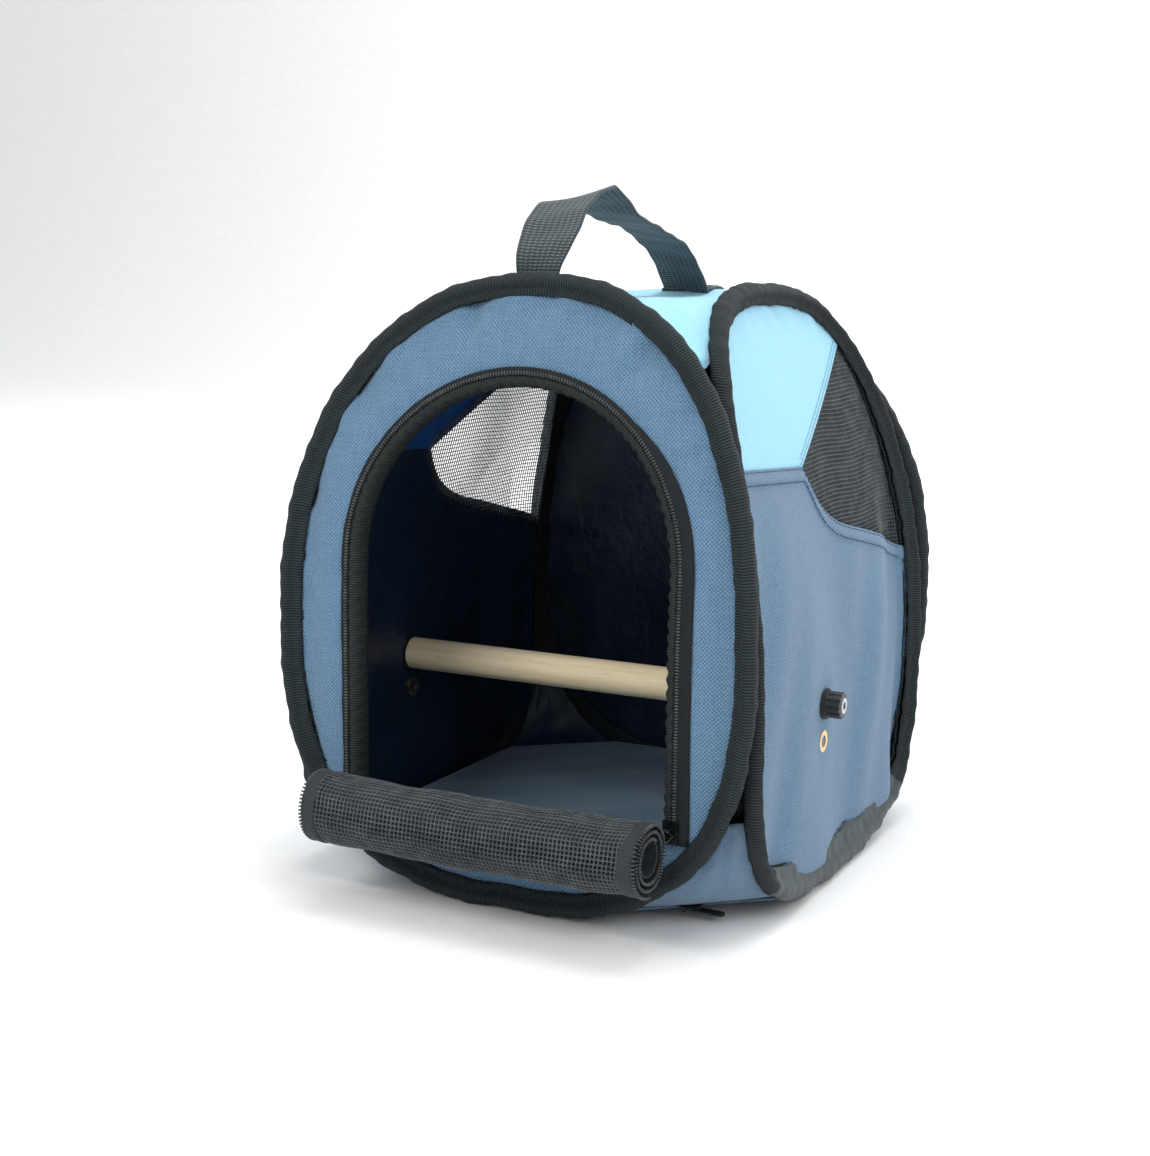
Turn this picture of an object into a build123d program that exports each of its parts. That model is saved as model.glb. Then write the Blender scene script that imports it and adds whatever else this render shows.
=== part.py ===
from build123d import *
from dataclasses import dataclass
import math
import os

# A soft-sided travel carrier for a small parrot.  Four spring-steel hoops, each in a folded
# binding tape, carry the fabric walls; a roof and a floor panel join the hoops.
# Origin: on the ground, at the middle of the whole carrier with its rolled door.  The doorway
# faces -Y and the right side is +X.  The shapes are drawn about the middle of the four hoops and
# moved back at the end by half of what the rolled door stands out in front.

# ---------------------------------------------------------------- overall sizes, millimetres
WIDTH = 280.0               # between the outer faces of the two side hoops
DEPTH = 300.0               # between the outer faces of the front and back hoops
FRONT_HEIGHT = 330.0        # ground to the crown of the front hoop
BACK_HEIGHT = 315.0
SIDE_HEIGHT = 326.0

# hoops: an outline that is widest low down and leans inward above that height
END_WIDEST = 144.0
END_TOP_POWER = 2.25
END_BOTTOM_POWER = 2.6
END_LEAN = 34.0
SIDE_WIDEST = 112.0         # above the eyelets, so that they sit in flat cloth
SIDE_TOP_POWER = 3.03
SIDE_BOTTOM_POWER = 3.2
SIDE_LEAN = 55.0
FOOT_FLAT = 0.8             # how far the binding is pressed flat where it stands on the ground
BINDING_WIDTH = 15.0
BINDING_THICK = 12.5
CORNER_GAP = 0.1            # between the bindings that are sewn together at a corner
SPRING_THICK = 1.2          # the hoop is a flat spring-steel strip, bent the easy way
SPRING_WIDTH = 5.0
SPRING_INSET = 5.0          # outer edge of the binding to the strip
SPRING_CLEARANCE = 0.1
SLEEVE_WALL = 0.7
SLEEVE_LENGTH = 22.0
SLEEVE_BOW = 0.4            # bow of the strip within the length of its sleeve

# fabric
CLOTH = 1.2                 # laminated polyester with its lining
WALL_EDGE_GAP = 0.05        # edge of a wall panel to its binding
PANEL_RECESS = 8.0          # outer face of the binding down to the face of a wall panel
MESH_THICK = 0.9
SEAM_FRONT_HEIGHT = 236.0   # side wall: lower edge of the light patch at the front hoop
SEAM_CORNER = (-29.0, 229.0)
PATCH_REAR_TOP = (54.0, 274.0)
WINDOW_SILL = [(-13.0, 209.0), (45.0, 188.0), (150.0, 160.0)]

# doorway in the front panel
DOOR_SIDE_MARGIN = 44.0     # widest outer edge of the front hoop to the centre of the zip
DOOR_TOP_MARGIN = 53.0      # crown of the front hoop to the centre of the zip
SILL_HEIGHT = 50.0
JAMB_DEPTH = 9.0
JAMB_THICK = 1.6
ZIP_TAPE_WIDTH = 11.0
ZIP_TAPE_THICK = 0.6
COIL_RADIUS = 1.3

# zip slider and its pull
SLIDER_WIDTH = 8.4
SLIDER_LENGTH = 12.0
SLIDER_PLATE = 1.2
SLIDER_GAP = 0.4
LUG_RADIUS = 2.2
LUG_HOLE = 1.3              # the bail hangs loose in it, so the pull can sway as well as lift
LUG_WIDTH = 1.0
BAIL_WIRE = 1.2
BAIL_STANDOFF = 1.0         # slider face to the bail pin
BAIL_INNER = 3.6            # clear width inside the bail
BAIL_REACH = 7.0            # pin to the far bar of the bail
PIN_CLEARANCE = 0.1
PULL_STANDOFF = 0.6         # binding face to the hanging pull
PULL_FOLD = 0.5             # thickness of the tab where it is folded round the bail
PULL_LENGTH = 26.0
PULL_WIDTH = 6.0
PULL_THICK = 1.2
PULL_HANG = 38.0            # degrees between the hanging pull and the vertical

# rolled door
ROLL_RADIUS = 19.0
ROLL_CORE_RADIUS = 8.0
ROLL_OVERHANG = 4.0         # end of the roll beyond the centre of the zip
ROLL_STANDOFF = 5.0         # binding face to the roll, room for the hanging zip pull
ROLL_CENTRE_HEIGHT = 51.0
HEM_HEIGHT = 35.0           # sewn lower edge of the door
HEM_THICK = 1.2
HEM_SIDE_MARGIN = 32.0      # the hanging zip pull swings beside the strip
EDGE_TAPE_LENGTH = 8.0
EDGE_TAPE_THICK = 0.8

# perch and its fixings
PERCH_RADIUS = 9.5
PERCH_Y = -25.0
PERCH_HEIGHT = 101.0
SPARE_HOLE_DROP = 21.0      # perch centre down to the spare eyelet
EYELET_BORE = 6.4
EYELET_FLANGE = 12.0
EYELET_LIP = 0.6
SCREW_RADIUS = 3.0
SCREW_CLEARANCE = 0.06
SCREW_REACH = 16.0          # screw length inside the perch
INSERT_RADIUS = 4.6
INSERT_LENGTH = 14.0
WASHER_RADIUS = 8.5
WASHER_THICK = 1.2
KNOB_RADIUS = 7.2
KNOB_LENGTH = 9.0
KNOB_GRIPS = 12
SCREW_HEAD_RADIUS = 4.4
SCREW_HEAD_DEPTH = 2.6
SCREW_PROUD = 0.5
HEX_SOCKET = 4.0            # across the flats
FIXING_GAP = 0.1            # between neighbours in the stack of eyelet, washer and knob

# roof, floor and handle
ROOF_HEIGHT = 316.0
ROOF_REAR_HEIGHT = 306.0    # where the roof meets the back hoop
ROOF_CORNER_BOTTOM = 284.0
FLOOR_HEIGHT = 9.0
FLOOR_CORNER_TOP = 60.0
BOARD_THICK = 3.0
MAT_THICK = 3.2
FLOOR_STACK_GAP = 0.3
FLOOR_EDGE_GAP = 2.0
WEBBING_WIDTH = 32.0
WEBBING_THICK = 1.8
HANDLE_PATCH_LENGTH = 26.0
HANDLE_PATCH_THICK = 1.6
HANDLE_ROUTE = [(-100.0, 0.0), (-98.0, 14.0), (-86.0, 41.0), (-60.0, 50.0), (-24.0, 43.5), (45.0, 28.0), (82.0, 0.0)]
HANDLE_AXIS_LIFT = 2.0      # roof to the line that the handle flops about
HANDLE_FREE_RADIUS = 26.0   # the webbing nearer to that line than this stays with the roof
HANDLE_SPLIT = 0.3
SEAM_TAPE_BOTTOM = 62.0
SEAM_TAPE_TOP = 238.0

# zip of the pocket that holds the floor board, on the underside
FLOOR_ZIP_Y = -108.0
FLOOR_ZIP_LENGTH = 170.0
FLOOR_ZIP_END_X = 88.0
FLOOR_PULL_LENGTH = 13.0
FLOOR_SLIDER_GAP = 0.2

OUTLINE_STEPS = 48          # points along a hoop outline
CORNER_STEPS = 5            # sections up a corner gusset


@dataclass
class Hoop:
    """An upright hoop, drawn as the front one: u runs sideways, the outer face looks to -Y."""

    half_span: float
    height: float
    widest: float
    top_power: float
    bottom_power: float
    reach: float
    lean: float

    def lean_at(self, z):
        rise = max(0.0, z - self.widest) / (self.height - self.widest)
        return self.lean * rise**2

    def half_at(self, z):
        if z >= self.widest:
            part, power = (z - self.widest) / (self.height - self.widest), self.top_power
        else:
            part, power = (self.widest - z) / (self.widest + FOOT_FLAT), self.bottom_power
        return self.half_span * max(0.0, 1.0 - part**power) ** (1.0 / power)

    def point(self, turn):
        c = math.cos(turn)
        s = math.sin(turn)
        power = self.top_power if s >= 0.0 else self.bottom_power
        rise = self.height - self.widest if s >= 0.0 else self.widest + FOOT_FLAT
        u = math.copysign(self.half_span * abs(c) ** (2.0 / power), c)
        z = self.widest + math.copysign(rise * abs(s) ** (2.0 / power), s)
        return u, z

    def outline(self, inset):
        """Points of the outline, moved inward by the inset, anticlockwise from the ground."""
        step = 2.0 * math.pi / OUTLINE_STEPS
        return [self.inset_point(i * step - math.pi / 2, inset) for i in range(OUTLINE_STEPS)]

    def inset_point(self, turn, inset):
        u, z = self.point(turn)
        u0, z0 = self.point(turn - 0.01)
        u1, z1 = self.point(turn + 0.01)
        length = math.hypot(u1 - u0, z1 - z0)
        return u - inset * (z1 - z0) / length, z + inset * (u1 - u0) / length


FRONT_HOOP = Hoop(WIDTH / 2, FRONT_HEIGHT, END_WIDEST, END_TOP_POWER, END_BOTTOM_POWER, DEPTH / 2, END_LEAN)
# the back hoop leans as the front one does at each height, so that both clear the side hoops
BACK_LEAN = END_LEAN * ((BACK_HEIGHT - END_WIDEST) / (FRONT_HEIGHT - END_WIDEST)) ** 2
BACK_HOOP = Hoop(WIDTH / 2, BACK_HEIGHT, END_WIDEST, END_TOP_POWER, END_BOTTOM_POWER, DEPTH / 2, BACK_LEAN)
SIDE_HOOP = Hoop(
    DEPTH / 2 - BINDING_THICK - CORNER_GAP,
    SIDE_HEIGHT,
    SIDE_WIDEST,
    SIDE_TOP_POWER,
    SIDE_BOTTOM_POWER,
    WIDTH / 2,
    SIDE_LEAN,
)
TURNS = {"front": 0.0, "right": 90.0, "back": 180.0, "left": -90.0}
HOOPS = {"front": FRONT_HOOP, "right": SIDE_HOOP, "back": BACK_HOOP, "left": SIDE_HOOP}

# ---------------------------------------------------------------- places worked out from the sizes
DOOR_HALF = WIDTH / 2 - DOOR_SIDE_MARGIN
DOOR_TOP = FRONT_HEIGHT - DOOR_TOP_MARGIN
ARCH_CENTRE = DOOR_TOP - DOOR_HALF
FRONT_FACE = -DEPTH / 2 + PANEL_RECESS          # outer face of the front panel, below the lean
SIDE_FACE = WIDTH / 2 - PANEL_RECESS            # outer face of a side wall, below the lean
SIDE_INSIDE = SIDE_FACE - CLOTH
SPARE_HEIGHT = PERCH_HEIGHT - SPARE_HOLE_DROP
PERCH_HALF = SIDE_INSIDE - EYELET_LIP - FIXING_GAP
ROLL_Y = -DEPTH / 2 - ROLL_STANDOFF - ROLL_RADIUS
ROLL_HALF = DOOR_HALF + ROLL_OVERHANG
HEM_Y = FRONT_FACE - HEM_THICK
SLIDER_HEIGHT = SILL_HEIGHT + SLIDER_LENGTH / 2 + SLIDER_GAP
BOARD_LEVEL = FLOOR_HEIGHT + CLOTH + FLOOR_STACK_GAP
MAT_LEVEL = BOARD_LEVEL + BOARD_THICK + FLOOR_STACK_GAP
HOOPS_BACK = (ROLL_RADIUS + EDGE_TAPE_THICK - ROLL_Y - DEPTH / 2) / 2    # hoops' middle behind the origin


def box(x, y, z):
    """A box from three (low, high) ranges."""
    size = Box(x[1] - x[0], y[1] - y[0], z[1] - z[0])
    return Pos((x[0] + x[1]) / 2, (y[0] + y[1]) / 2, (z[0] + z[1]) / 2) * size


def rod(axis, centre, radius, low, high):
    """A cylinder along X, Y or Z between two values of that axis, through the centre given."""
    length = high - low
    middle = (low + high) / 2
    bar = Cylinder(radius, length)
    if axis == "X":
        return Pos(middle, centre[0], centre[1]) * Rot(0, 90, 0) * bar
    if axis == "Y":
        return Pos(centre[0], middle, centre[1]) * Rot(90, 0, 0) * bar
    return Pos(centre[0], centre[1], middle) * bar


def lean_slab(hoop, near, far, low=0.0, high=None):
    """The leaning sheet of space between two depths behind the outer face of a hoop."""
    top = hoop.height + 20.0 if high is None else high
    span = 2.0 * hoop.half_span + 40.0
    crown = (top - hoop.widest) / (hoop.height - hoop.widest)
    reach = hoop.lean * crown**2
    a = -hoop.reach + near
    b = -hoop.reach + far
    half_top = (hoop.widest + top) / 2
    edges = [
        Line((0, a, low), (0, a, hoop.widest)),
        Bezier((0, a, hoop.widest), (0, a, half_top), (0, a + reach, top)),
        Line((0, a + reach, top), (0, b + reach, top)),
        Bezier((0, b + reach, top), (0, b, half_top), (0, b, hoop.widest)),
        Line((0, b, hoop.widest), (0, b, low)),
        Line((0, b, low), (0, a, low)),
    ]
    return extrude(Face(Wire(edges)), amount=span / 2, dir=(1, 0, 0), both=True)


def through(hoop, inset):
    """The outline of a hoop, moved inward, carried right through in Y."""
    points = [(u, -2.0 * hoop.reach, z) for u, z in hoop.outline(inset)]
    return extrude(Face(Wire([Spline(*points, periodic=True)])), amount=2.0 * hoop.reach, dir=(0, 1, 0))


def strip_along(hoop, grow):
    """A flat strip bent along the hoop, grown by a clearance on every side."""
    near = (BINDING_THICK - SPRING_WIDTH) / 2 - grow
    ring = through(hoop, SPRING_INSET - grow) - through(hoop, SPRING_INSET + SPRING_THICK + grow)
    return ring & lean_slab(hoop, near, BINDING_THICK - near)


def turned(side, shape):
    return Rot(0, 0, TURNS[side]) * shape


# ---------------------------------------------------------------- hoops and bindings
def hoop_spring(hoop):
    return strip_along(hoop, 0.0)


def sleeve_box(hoop, grow, half):
    """A box round the strip where it crosses the middle at the ground."""
    y = -hoop.reach + BINDING_THICK / 2
    z = SPRING_INSET - FOOT_FLAT + SPRING_THICK / 2
    wide = SPRING_WIDTH / 2 + grow
    high = SPRING_THICK / 2 + SLEEVE_BOW + grow
    return box((-half, half), (y - wide, y + wide), (z - high, z + high))


def spring_sleeve(hoop):
    half = SLEEVE_LENGTH / 2
    outside = sleeve_box(hoop, SPRING_CLEARANCE + SLEEVE_WALL, half)
    return outside - sleeve_box(hoop, SPRING_CLEARANCE, half)


def binding(hoop):
    ring = (through(hoop, 0.0) - through(hoop, BINDING_WIDTH)) & lean_slab(hoop, 0.0, BINDING_THICK)
    ring -= strip_along(hoop, SPRING_CLEARANCE)
    return ring - sleeve_box(hoop, 2 * SPRING_CLEARANCE + SLEEVE_WALL, SLEEVE_LENGTH / 2 + SPRING_CLEARANCE)


# ---------------------------------------------------------------- walls
def wall(hoop, thick=CLOTH):
    return through(hoop, BINDING_WIDTH + WALL_EDGE_GAP) & lean_slab(hoop, PANEL_RECESS, PANEL_RECESS + thick)


def arch(grow, near, far):
    """The doorway arch, grown all round above the sill line, between two values of Y."""
    radius = DOOR_HALF + grow
    upper = rod("Y", (0.0, ARCH_CENTRE), radius, near, far)
    lower = box((-radius, radius), (near, far), (SILL_HEIGHT, ARCH_CENTRE))
    return upper + lower


def arch_band(inner, outer, near, far):
    """A band that follows the doorway, held to the leaning front wall."""
    reach = DEPTH
    band = arch(outer, -reach, reach) - arch(inner, -2 * reach, 2 * reach)
    return band & lean_slab(FRONT_HOOP, near, far, low=SILL_HEIGHT)


def front_panel():
    return wall(FRONT_HOOP) - arch(0.0, -DEPTH, 0.0)


def doorway_jamb():
    return arch_band(-JAMB_THICK, 0.0, PANEL_RECESS, PANEL_RECESS + JAMB_DEPTH)


def doorway_zip_tape():
    tape = arch_band(0.0, ZIP_TAPE_WIDTH, PANEL_RECESS - ZIP_TAPE_THICK, PANEL_RECESS)
    return tape & through(FRONT_HOOP, BINDING_WIDTH + WALL_EDGE_GAP)


def doorway_zip_coil():
    """The toothed coil, standing on the zip tape at the edge of the doorway."""
    front = PANEL_RECESS - ZIP_TAPE_THICK
    return arch_band(0.0, 2 * COIL_RADIUS, front - COIL_RADIUS, front)


def side_zone(points):
    """A region of the right wall: an outline of (y, z) points carried through in X."""
    edges = []
    for start, end in zip(points, points[1:] + points[:1]):
        edges.append(Line((0, start[0], start[1]), (0, end[0], end[1])))
    return extrude(Face(Wire(edges)), amount=WIDTH, dir=(1, 0, 0))


def window_zone():
    """The part of the right wall behind the slanted seam and above the curved sill."""
    far = DEPTH
    run = PATCH_REAR_TOP[0] - SEAM_CORNER[0]
    rise = PATCH_REAR_TOP[1] - SEAM_CORNER[1]
    top_y = SEAM_CORNER[0] + run * (far - SEAM_CORNER[1]) / rise
    sill = [SEAM_CORNER] + WINDOW_SILL
    end = WINDOW_SILL[-1]
    edges = [
        Spline(*[(0, y, z) for y, z in sill]),
        Line((0, end[0], end[1]), (0, far, end[1])),
        Line((0, far, end[1]), (0, far, 2 * far)),
        Line((0, far, 2 * far), (0, top_y, 2 * far)),
        Line((0, top_y, 2 * far), (0, top_y, far)),
        Line((0, top_y, far), (0, SEAM_CORNER[0], SEAM_CORNER[1])),
    ]
    return extrude(Face(Wire(edges)), amount=WIDTH, dir=(1, 0, 0))


def side_walls():
    """The right wall in its three pieces: light patch, mesh window and lower panel."""
    whole = turned("right", wall(SIDE_HOOP))
    thin = turned("right", wall(SIDE_HOOP, MESH_THICK))
    behind = window_zone()
    slope = (SEAM_CORNER[1] - SEAM_FRONT_HEIGHT) / (SEAM_CORNER[0] + DEPTH / 2)
    front_z = SEAM_FRONT_HEIGHT - slope * DEPTH / 2
    above = side_zone(
        [(-DEPTH, front_z), SEAM_CORNER, (DEPTH, SEAM_CORNER[1]), (DEPTH, 2 * DEPTH), (-DEPTH, 2 * DEPTH)]
    )
    window = thin & behind
    patch = (whole & above) - behind
    lower = (whole - above) - behind
    for height in (PERCH_HEIGHT, SPARE_HEIGHT):
        lower -= rod("X", (PERCH_Y, height), EYELET_BORE / 2 + EYELET_LIP, 0.0, WIDTH)
    return patch, window, lower


# ---------------------------------------------------------------- roof, floor and corner gussets
def level_corners(z, end_hoop):
    """Outer points of an end hoop and of the side hoop at a height, in the quarter +X, -Y."""
    end = (end_hoop.half_at(z), -(end_hoop.reach - end_hoop.lean_at(z) - BINDING_THICK))
    side = (SIDE_HOOP.reach - SIDE_HOOP.lean_at(z) - BINDING_THICK, -SIDE_HOOP.half_at(z))
    return end, side


def inner_corners(z, end_hoop):
    """The inner edges of the end binding and of the side binding at a height, same quarter."""
    (end_x, end_y), (side_x, side_y) = level_corners(z, end_hoop)
    return (min(end_x - BINDING_WIDTH, side_x), end_y), (side_x, side_y + BINDING_WIDTH)


def corner_strip(low, high, end_hoop, corners):
    """A strip of cloth up one corner, in the quarter +X, -Y."""
    sections = []
    for i in range(CORNER_STEPS):
        z = low + (high - low) * i / (CORNER_STEPS - 1)
        (ax, ay), (bx, by) = corners(z, end_hoop)
        length = math.hypot(bx - ax, by - ay)
        nx = -(by - ay) / length * CLOTH
        ny = (bx - ax) / length * CLOTH
        sections.append(polygon([(ax, ay, z), (bx, by, z), (bx + nx, by + ny, z), (ax + nx, ay + ny, z)]))
    return loft(sections, ruled=True)


def polygon(points):
    return Face(Wire.make_polygon([Vector(*point) for point in points], close=True))


def both_sides(piece):
    return piece + mirror(piece, about=Plane.YZ)


def four_corners(low, high, corners=level_corners):
    front = corner_strip(low, high, FRONT_HOOP, corners)
    back = mirror(corner_strip(low, high, BACK_HOOP, corners), about=Plane.XZ)
    return both_sides(front + back)


def roof_panel():
    """A level sheet behind the front hoop that slopes down to the back hoop, and four gussets."""
    (ax, ay), (bx, by) = level_corners(ROOF_HEIGHT, FRONT_HOOP)
    (cx, cy), (dx, dy) = level_corners(ROOF_REAR_HEIGHT, BACK_HOOP)
    top = ROOF_HEIGHT
    rear = ROOF_REAR_HEIGHT
    sheet = polygon([(ax, ay, top), (bx, by, top), (bx, -by, top), (-bx, -by, top), (-bx, by, top), (-ax, ay, top)])
    slope = polygon([(bx, -by, top), (cx, -cy, rear), (-cx, -cy, rear), (-bx, -by, top)])
    ear = polygon([(bx, -by, top), (dx, -dy, rear), (cx, -cy, rear)])
    roof = None
    for face in (sheet, slope, ear, mirror(ear, about=Plane.YZ)):
        piece = extrude(face, amount=CLOTH, dir=(0, 0, -1))
        roof = piece if roof is None else roof + piece
    roof += both_sides(corner_strip(ROOF_CORNER_BOTTOM, top, FRONT_HOOP, level_corners))
    return roof + both_sides(mirror(corner_strip(ROOF_CORNER_BOTTOM, rear, BACK_HOOP, level_corners), about=Plane.XZ))


def floor_plate(level, edge, thick):
    """A flat eight-sided plate that fills the ring of hoops, kept an edge gap inside it."""
    (ax, ay), (bx, by) = level_corners(level, FRONT_HOOP)
    quarter = [(ax - edge / 2, ay + edge), (bx - edge, by + edge / 2)]
    points = quarter + [(x, -y) for x, y in reversed(quarter)]
    points += [(-x, -y) for x, y in quarter] + [(-x, y) for x, y in reversed(quarter)]
    return extrude(polygon([(x, y, level) for x, y in points]), amount=thick, dir=(0, 0, 1))


def floor_panel():
    return floor_plate(FLOOR_HEIGHT, 0.0, CLOTH) + four_corners(FLOOR_HEIGHT, FLOOR_CORNER_TOP)


def floor_layer(level, thick):
    return floor_plate(level, FLOOR_EDGE_GAP + CLOTH, thick)


# ---------------------------------------------------------------- door roll
def door_roll():
    """The wound mesh, as one thick tube; its loose hem is a separate piece."""
    half = ROLL_HALF - EDGE_TAPE_LENGTH
    tube = rod("X", (ROLL_Y, ROLL_CENTRE_HEIGHT), ROLL_RADIUS, -half, half)
    return tube - rod("X", (ROLL_Y, ROLL_CENTRE_HEIGHT), ROLL_CORE_RADIUS, -half, half)


def door_edge_tapes():
    """The taped edges of the mesh, wound up at the two ends of the roll."""
    centre = (ROLL_Y, ROLL_CENTRE_HEIGHT)
    ends = None
    for side in (-1, 1):
        low, high = sorted((side * (ROLL_HALF - EDGE_TAPE_LENGTH), side * ROLL_HALF))
        ring = rod("X", centre, ROLL_RADIUS + EDGE_TAPE_THICK, low, high)
        ring -= rod("X", centre, ROLL_CORE_RADIUS, low, high)
        ends = ring if ends is None else ends + ring
    return ends


def door_edge_coils():
    """The zip coil of the door, wound with its taped edges and standing out at the two ends."""
    centre = (ROLL_Y, ROLL_CENTRE_HEIGHT)
    coils = None
    for side in (-1, 1):
        low, high = sorted((side * ROLL_HALF, side * (ROLL_HALF + COIL_RADIUS)))
        for radius in (ROLL_RADIUS, ROLL_RADIUS - 2.5 * COIL_RADIUS, ROLL_RADIUS - 5 * COIL_RADIUS):
            ring = rod("X", centre, radius, low, high)
            ring -= rod("X", centre, radius - COIL_RADIUS, low, high)
            coils = ring if coils is None else coils + ring
    return coils


def door_hem():
    """The flat strip between the sewn line and the underside of the roll."""
    half = FRONT_HOOP.half_at(HEM_HEIGHT) - BINDING_WIDTH - HEM_SIDE_MARGIN
    dy = ROLL_Y - HEM_Y
    dz = ROLL_CENTRE_HEIGHT - HEM_HEIGHT
    distance = math.hypot(dy, dz)
    swing = math.atan2(dz, -dy) - math.asin((ROLL_RADIUS + HEM_THICK / 2) / distance)
    length = math.sqrt(distance**2 - (ROLL_RADIUS + HEM_THICK / 2) ** 2)
    strip = box((-half, half), (-length, 0.0), (-HEM_THICK / 2, HEM_THICK / 2))
    placed = Pos(0.0, HEM_Y, HEM_HEIGHT) * Rot(-math.degrees(swing), 0, 0) * strip
    return placed - rod("X", (ROLL_Y, ROLL_CENTRE_HEIGHT), ROLL_RADIUS, -half - 1, half + 1)


# ---------------------------------------------------------------- zip sliders and pulls
def zip_slider(bridge_back):
    """A slider on a coil that runs along Z.  The origin is on the zip tape, the front looks to -Y.

    The front plate covers the coil, the bridge stands at one side (-X) and reaches back as far as
    the zip leaves room for it, and the lug carries the bail.
    """
    half_w = SLIDER_WIDTH / 2
    half_l = SLIDER_LENGTH / 2
    inner = COIL_RADIUS + SLIDER_GAP
    face = inner + SLIDER_PLATE
    pin = face + BAIL_STANDOFF
    front = box((-half_w, half_w), (-face, -inner), (-half_l, half_l))
    bridge = box((-half_w, SLIDER_PLATE - half_w), (-inner, bridge_back), (-half_l, half_l))
    lug = rod("X", (-pin, 0.0), LUG_RADIUS, -LUG_WIDTH / 2, LUG_WIDTH / 2)
    lug &= box((-half_w, half_w), (-2 * face - LUG_RADIUS, -face), (-half_l, half_l))
    lug -= rod("X", (-pin, 0.0), LUG_HOLE, -half_w, half_w)
    return front + bridge + lug


def zip_bail(slant=0.0):
    """The wire loop through the lug: its pin is at the origin and the loop hangs to -Z."""
    radius = BAIL_WIRE / 2
    half = BAIL_INNER / 2 + radius
    loop = rod("X", (0.0, 0.0), radius, -half, half) + rod("X", (0.0, -BAIL_REACH), radius, -half, half)
    for side in (-half, half):
        loop += rod("Z", (side, 0.0), radius, -BAIL_REACH, 0.0)
        loop += Pos(side, 0.0, 0.0) * Sphere(radius)
        loop += Pos(side, 0.0, -BAIL_REACH) * Sphere(radius)
    return Rot(slant, 0, 0) * loop


def pull_tab(length):
    """A flat tab folded round the bar of the bail, which is at the origin, hanging to -Z."""
    half_w = PULL_WIDTH / 2
    half_t = PULL_THICK / 2
    fold = BAIL_WIRE / 2 + PIN_CLEARANCE + PULL_FOLD
    neck = BAIL_INNER / 2 - PIN_CLEARANCE
    shoulder = fold + BAIL_WIRE / 2
    tab = box((-half_w, half_w), (-half_t, half_t), (-length, -shoulder))
    tab += rod("Y", (0.0, -length), half_w, -half_t, half_t)
    tab += box((-neck, neck), (-half_t, half_t), (-shoulder, 0.0))
    tab += rod("X", (0.0, 0.0), fold, -neck, neck)
    return tab - rod("X", (0.0, 0.0), BAIL_WIRE / 2 + PIN_CLEARANCE, -half_w, half_w)


def bail_pin_y():
    return FRONT_FACE - ZIP_TAPE_THICK - COIL_RADIUS - SLIDER_GAP - SLIDER_PLATE - BAIL_STANDOFF


def bail_slant():
    """The bail leans out over the binding so that the pull hangs in front of it."""
    pull_y = -DEPTH / 2 - PULL_STANDOFF - PULL_THICK / 2
    return math.asin((bail_pin_y() - pull_y) / BAIL_REACH)


def hanging(shape):
    """Bail or pull of the door zip, from its own origin at the pin to its place."""
    return Pos(DOOR_HALF, bail_pin_y(), SLIDER_HEIGHT) * Rot(0, PULL_HANG, 0) * shape


def door_zip_slider():
    inner = COIL_RADIUS + SLIDER_GAP
    return Pos(DOOR_HALF, FRONT_FACE - ZIP_TAPE_THICK, SLIDER_HEIGHT) * zip_slider(inner)


def door_zip_bail():
    return hanging(zip_bail(-math.degrees(bail_slant())))


def door_zip_pull():
    down = BAIL_REACH * math.cos(bail_slant())
    out = BAIL_REACH * math.sin(bail_slant())
    return hanging(Pos(0.0, -out, -down) * pull_tab(PULL_LENGTH))


def floor_zip_frame():
    """Slider frame of the floor zip: its Z runs along +X here, and its front looks down."""
    return Pos(FLOOR_ZIP_END_X, FLOOR_ZIP_Y, FLOOR_HEIGHT - ZIP_TAPE_THICK) * Rot(90, 0, 0) * Rot(0, 90, 0)


def floor_zip_slider():
    return floor_zip_frame() * zip_slider(-FLOOR_SLIDER_GAP)


def floor_zip_pull():
    """Bail and tab of the floor zip in one piece, lying out towards the right."""
    down = COIL_RADIUS + SLIDER_GAP + SLIDER_PLATE + BAIL_STANDOFF
    tab = zip_bail() + Pos(0.0, 0.0, -BAIL_REACH) * pull_tab(FLOOR_PULL_LENGTH)
    return floor_zip_frame() * Pos(0.0, -down, 0.0) * Rot(180, 0, 0) * tab


def floor_zip_tape():
    low = FLOOR_ZIP_END_X - FLOOR_ZIP_LENGTH
    high = FLOOR_ZIP_END_X + SLIDER_LENGTH
    wide = (FLOOR_ZIP_Y - ZIP_TAPE_WIDTH, FLOOR_ZIP_Y + ZIP_TAPE_WIDTH)
    return box((low, high), wide, (FLOOR_HEIGHT - ZIP_TAPE_THICK, FLOOR_HEIGHT))


def floor_zip_coil():
    low = FLOOR_ZIP_END_X - FLOOR_ZIP_LENGTH
    high = FLOOR_ZIP_END_X + SLIDER_LENGTH
    level = FLOOR_HEIGHT - ZIP_TAPE_THICK
    wide = (FLOOR_ZIP_Y - COIL_RADIUS, FLOOR_ZIP_Y + COIL_RADIUS)
    return box((low, high), wide, (level - COIL_RADIUS, level))


# ---------------------------------------------------------------- perch and fixings, right side
def perch():
    stick = rod("X", (PERCH_Y, PERCH_HEIGHT), PERCH_RADIUS, -PERCH_HALF, PERCH_HALF)
    for side in (-1, 1):
        low, high = sorted((side * (PERCH_HALF - INSERT_LENGTH), side * PERCH_HALF))
        stick -= rod("X", (PERCH_Y, PERCH_HEIGHT), INSERT_RADIUS, low, high)
        low, high = sorted((side * (PERCH_HALF - SCREW_REACH - 2.0), side * PERCH_HALF))
        stick -= rod("X", (PERCH_Y, PERCH_HEIGHT), SCREW_RADIUS + SCREW_CLEARANCE, low, high)
    return stick


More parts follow.
